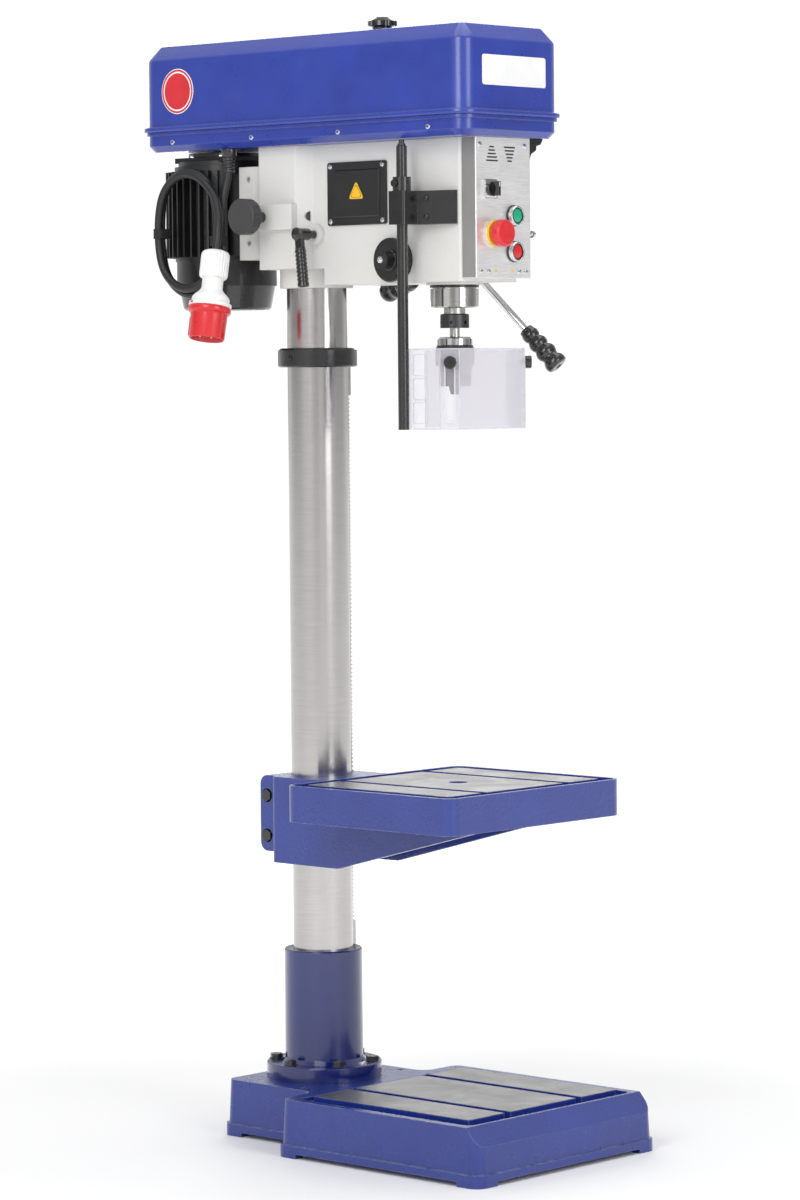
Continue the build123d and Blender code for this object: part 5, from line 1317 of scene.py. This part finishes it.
@dataclass
class MotorUnit(Assembly):
    """The finned motor on its sliding mount.

    Attributes:
        motor_y: the motor's axis.
    """

    motor_y: float = 193.0

    def bolts(self) -> None:
        """The bright bolts of the motor's bracket and mount."""
        for index, (x, y) in enumerate(((-52, 212), (52, 212), (-52, 150), (52, 150))):
            head = hex_head(10, 5.5)
            put(head.made(f"bracket_bolt_{index + 1}", set_down(x, y, 1500), 30), Look.CHROME,
                "motor_carriage")
        for index, z in enumerate((1461, 1364)):
            ring = lathe([(3.4, 0), (5.0, 0), (4.8, 0.7), (3.4, 0.7)], 32, closed=True)
            put(ring.made(f"mount_hole_ring_{index + 1}", set_down(-75, 70, z, turn("Y", -90))),
                Look.GREY_CAST,
                "motor_carriage")
        for index, y in enumerate((165, 222)):
            head = pan_head(3.6)
            put(head.made(f"cowl_screw_{index + 1}", set_down(-66, y, 1301, facing((-1, 0, 0.1))), 40),
                Look.CHROME,
                "motor_carriage")

    def neck(self) -> None:
        """The dark neck between the motor's bracket and the belt case."""
        low, high, bore, outer = 1499.5, 1506.5, 30, 58
        shape = lathe([(bore, low), (outer - 1, low), (outer, low + 1), (outer, high), (bore, high)], 64,
                      closed=True)
        put(shape.made("motor_neck", set_down(0, self.motor_y, 0)), Look.BLACK_CAST, "motor_carriage")

    def build(self) -> None:
        """Motor, cowl, mount and slide rods."""
        self.neck()
        self.dress(Look.BLACK_CAST, "motor_body")
        self.dress(Look.BLACK_SATIN, "fan_cowl")
        self.dress(Look.GREY_CAST, "motor_mount")
        self.dress(Look.POLISHED, "guide_rods")
        self.dress(Look.STEEL, "motor_rotor")
        self.bolts()


@dataclass
class ChuckGuard(Assembly):
    """The guard's rod, its clear frame and the shield that slides in it.

    Attributes:
        rod_x: the rod's axis.
        rod_y: the rod's axis.
        side: half of the guard's width.
        front: its front face.
        low: its bottom.
        high: its top.
    """

    rod_x: float = -100.0
    rod_y: float = -270.0
    side: float = 92.0
    front: float = -355.0
    low: float = 1082.0
    high: float = 1201.0

    def frame_rib(self, name: str, y: float, z: float, half_y: float, half_z: float) -> None:
        """One moulded window frame on the guard's left side."""
        outer = round_rect(half_y, half_z, 4, 5)
        inner = round_rect(half_y - 1.6, half_z - 1.6, 2.6, 5)
        rings = [[(a, b, 0) for a, b in inner], [(a, b, 0) for a, b in outer],
                 [(a, b, 1.1) for a, b in shrunk(outer, 0.3)], [(a, b, 1.1) for a, b in inner]]
        place = set_down(-self.side, y, z, turn("Z", -90), turn("X", 90))
        put(Shape.empty().loft(rings, closed=True).made(name, place), Look.CLEAR_RIB, "guard")

    def edge(self, name: str, start: Point2, end: Point2, z: float) -> None:
        """A bead along the guard's edge between two plan points."""
        points = [Vector((*start, z)), Vector((*end, z))]
        put(tube_along(points, 1.1, 12).made(name, set_down(0, 0, 0)), Look.CLEAR_RIB, "guard")

    def ribs(self) -> None:
        """The moulded windows beside the rod, the beads round the frame and the slots' rims."""
        height = (self.high - self.low - 14) / 3
        for index in range(3):
            middle = self.low + 7 + height * (index + 0.5)
            self.frame_rib(f"window_rib_{index + 1}", -296, middle, 14, height / 2 - 1.2)
        cut = 20.0
        corners = [(-self.side, -283.0), (-self.side, self.front + cut), (-self.side + cut, self.front),
                   (self.side - cut, self.front), (self.side, self.front + cut), (self.side, -312.0)]
        for level, z in (("low", self.low + 1.2), ("high", self.high - 1.2)):
            for index, (start, end) in enumerate(zip(corners, corners[1:])):
                self.edge(f"edge_bead_{level}_{index + 1}", start, end, z)
        for index, (x, y) in enumerate(corners[1:5]):
            points = [Vector((x, y, self.low + 1.2)), Vector((x, y, self.high - 1.2))]
            put(tube_along(points, 0.9, 12).made(f"corner_bead_{index + 1}", set_down(0, 0, 0)),
                Look.CLEAR_RIB, "guard")
        outer, inner = round_rect(8.2, 48.2, 8.1, 8), round_rect(6.3, 46.3, 6.2, 8)
        for side, name in ((-1, "left"), (1, "right")):
            place = set_down(side * (self.side - cut / 2), self.front + cut / 2, self.high - 61,
                             turn("Z", 45 * side),
                             turn("X", 90))
            rings = [[(a, b, 1.6) for a, b in inner], [(a, b, 1.6) for a, b in outer],
                     [(a, b, 2.6) for a, b in outer],
                     [(a, b, 2.6) for a, b in inner]]
            put(Shape.empty().loft(rings, closed=True).made(f"slot_rim_{name}", place), Look.CLEAR_RIB,
                "guard")

    def screws(self) -> None:
        """The small screws on the rod and the clamp."""
        outward = Vector((-0.80, -0.60, 0))
        for index, z in enumerate((1187, 1142, 1097)):
            spot = Vector((self.rod_x, self.rod_y, z)) + outward * 7.7
            put(pan_head(2.6).made(f"rod_screw_{index + 1}", set_down(*spot, facing(outward)), 40),
                Look.DARK_STEEL,
                "guard")
        slant = Vector((-58, -16, 0)).normalized()
        for index, z in enumerate((1420, 1393)):
            spot = Vector((-82.0, -301.5, z)) + slant * 0.2
            put(pan_head(4.0).made(f"clamp_screw_{index + 1}", set_down(*spot, facing(slant)), 40),
                Look.BLACK_SATIN,
                "stand")

    def build(self) -> None:
        """Bracket, rod, frame, shield and knobs."""
        self.dress(Look.BLACK_SATIN, "guard_bracket", "guard_rod")
        self.dress(Look.CLEAR, "guard_frame", "guard_shield")
        self.dress(Look.BLACK_GLOSS, "shield_knobs")
        self.ribs()
        self.screws()


@dataclass
class ColumnAndTable(Assembly):
    """The base, the column with its rack, and the rising table.

    Attributes:
        frame_half: half width of the blank cast frame on the base's front slope.
        frame_y: column-frame depth of the slope's top and bottom edges.
        frame_z: heights of the slope's top and bottom edges.
    """

    frame_half: float = 48.0
    frame_y: tuple[float, float] = (-466.0, -491.5)
    frame_z: tuple[float, float] = (84.5, 50.5)

    def cast_frame(self) -> None:
        """The raised empty frame on the base's front slope."""
        top = Vector((0, self.frame_y[0], self.frame_z[0]))
        bottom = Vector((0, self.frame_y[1], self.frame_z[1]))
        up = (top - bottom).normalized()
        out = Vector((1, 0, 0)).cross(up)
        middle = (top + bottom) / 2
        turned = Matrix((Vector((1, 0, 0)), up, out)).transposed().to_4x4()
        outer, inner = round_rect(self.frame_half, 13, 4, 5), round_rect(self.frame_half - 2.2, 10.8, 2.6,
                                                                         5)
        rings = [[(a, b, -1.5) for a, b in inner], [(a, b, -1.5) for a, b in outer],
                 [(a, b, 1.8) for a, b in shrunk(outer, 0.9)],
                 [(a, b, 1.8) for a, b in shrunk(inner, -0.5)]]
        place = set_down(*(middle + Vector((86, 0, 0))), turned)
        put(Shape.empty().loft(rings, closed=True).made("base_cast_frame", place), Look.BLUE_CAST, "stand")

    def small_parts(self) -> None:
        """Washers under the socket's bolts and the ring's set screw."""
        for index in range(6):
            angle = math.radians(60 * index)
            spot = set_down(76 * math.cos(angle), 76 * math.sin(angle), 109.95)
            washer = lathe([(5.6, 0), (10.4, 0), (10.4, 0.9), (10.0, 1.3), (5.6, 1.3)], 40, closed=True)
            put(washer.made(f"socket_washer_{index + 1}", spot), Look.BLACK_SATIN, "stand")
        screw = lathe([(0, 0), (3.8, 0), (3.8, 2.0), (2.0, 2.2), (1.7, 1.0), (0, 1.0)], 32)
        put(screw.made("ring_set_screw", set_down(-59.5, 0, 1189.5, turn("Y", -90)), 40), Look.DARK_STEEL,
            "stand")

    def build(self) -> None:
        """Base, column, rack and table."""
        self.dress(Look.BASE, "base_casting")
        self.dress(Look.BLUE_SOCKET, "column_socket")
        self.dress(Look.BLACK_SATIN, "socket_bolts", "rack_ring", "clamp_bolts")
        self.dress(Look.COLUMN, "column_tube")
        self.dress(Look.STEEL, "column_rack", "lift_gears", "table_crank")
        self.dress(Look.TABLE, "table_casting")
        self.dress(Look.BLACK_GLOSS, "crank_grip")
        self.cast_frame()
        self.small_parts()


def main() -> None:
    """Builds the studio and every assembly."""
    logging.basicConfig(level=logging.INFO, format="%(message)s")
    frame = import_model()
    Studio().build()
    for kind in (PowerLead, BeltCase, DrillHead, MotorUnit, ChuckGuard, ColumnAndTable):
        kind(frame["nodes"]).build()
        LOG.info("%s is done", kind.__name__)


if __name__ == "__main__":
    main()
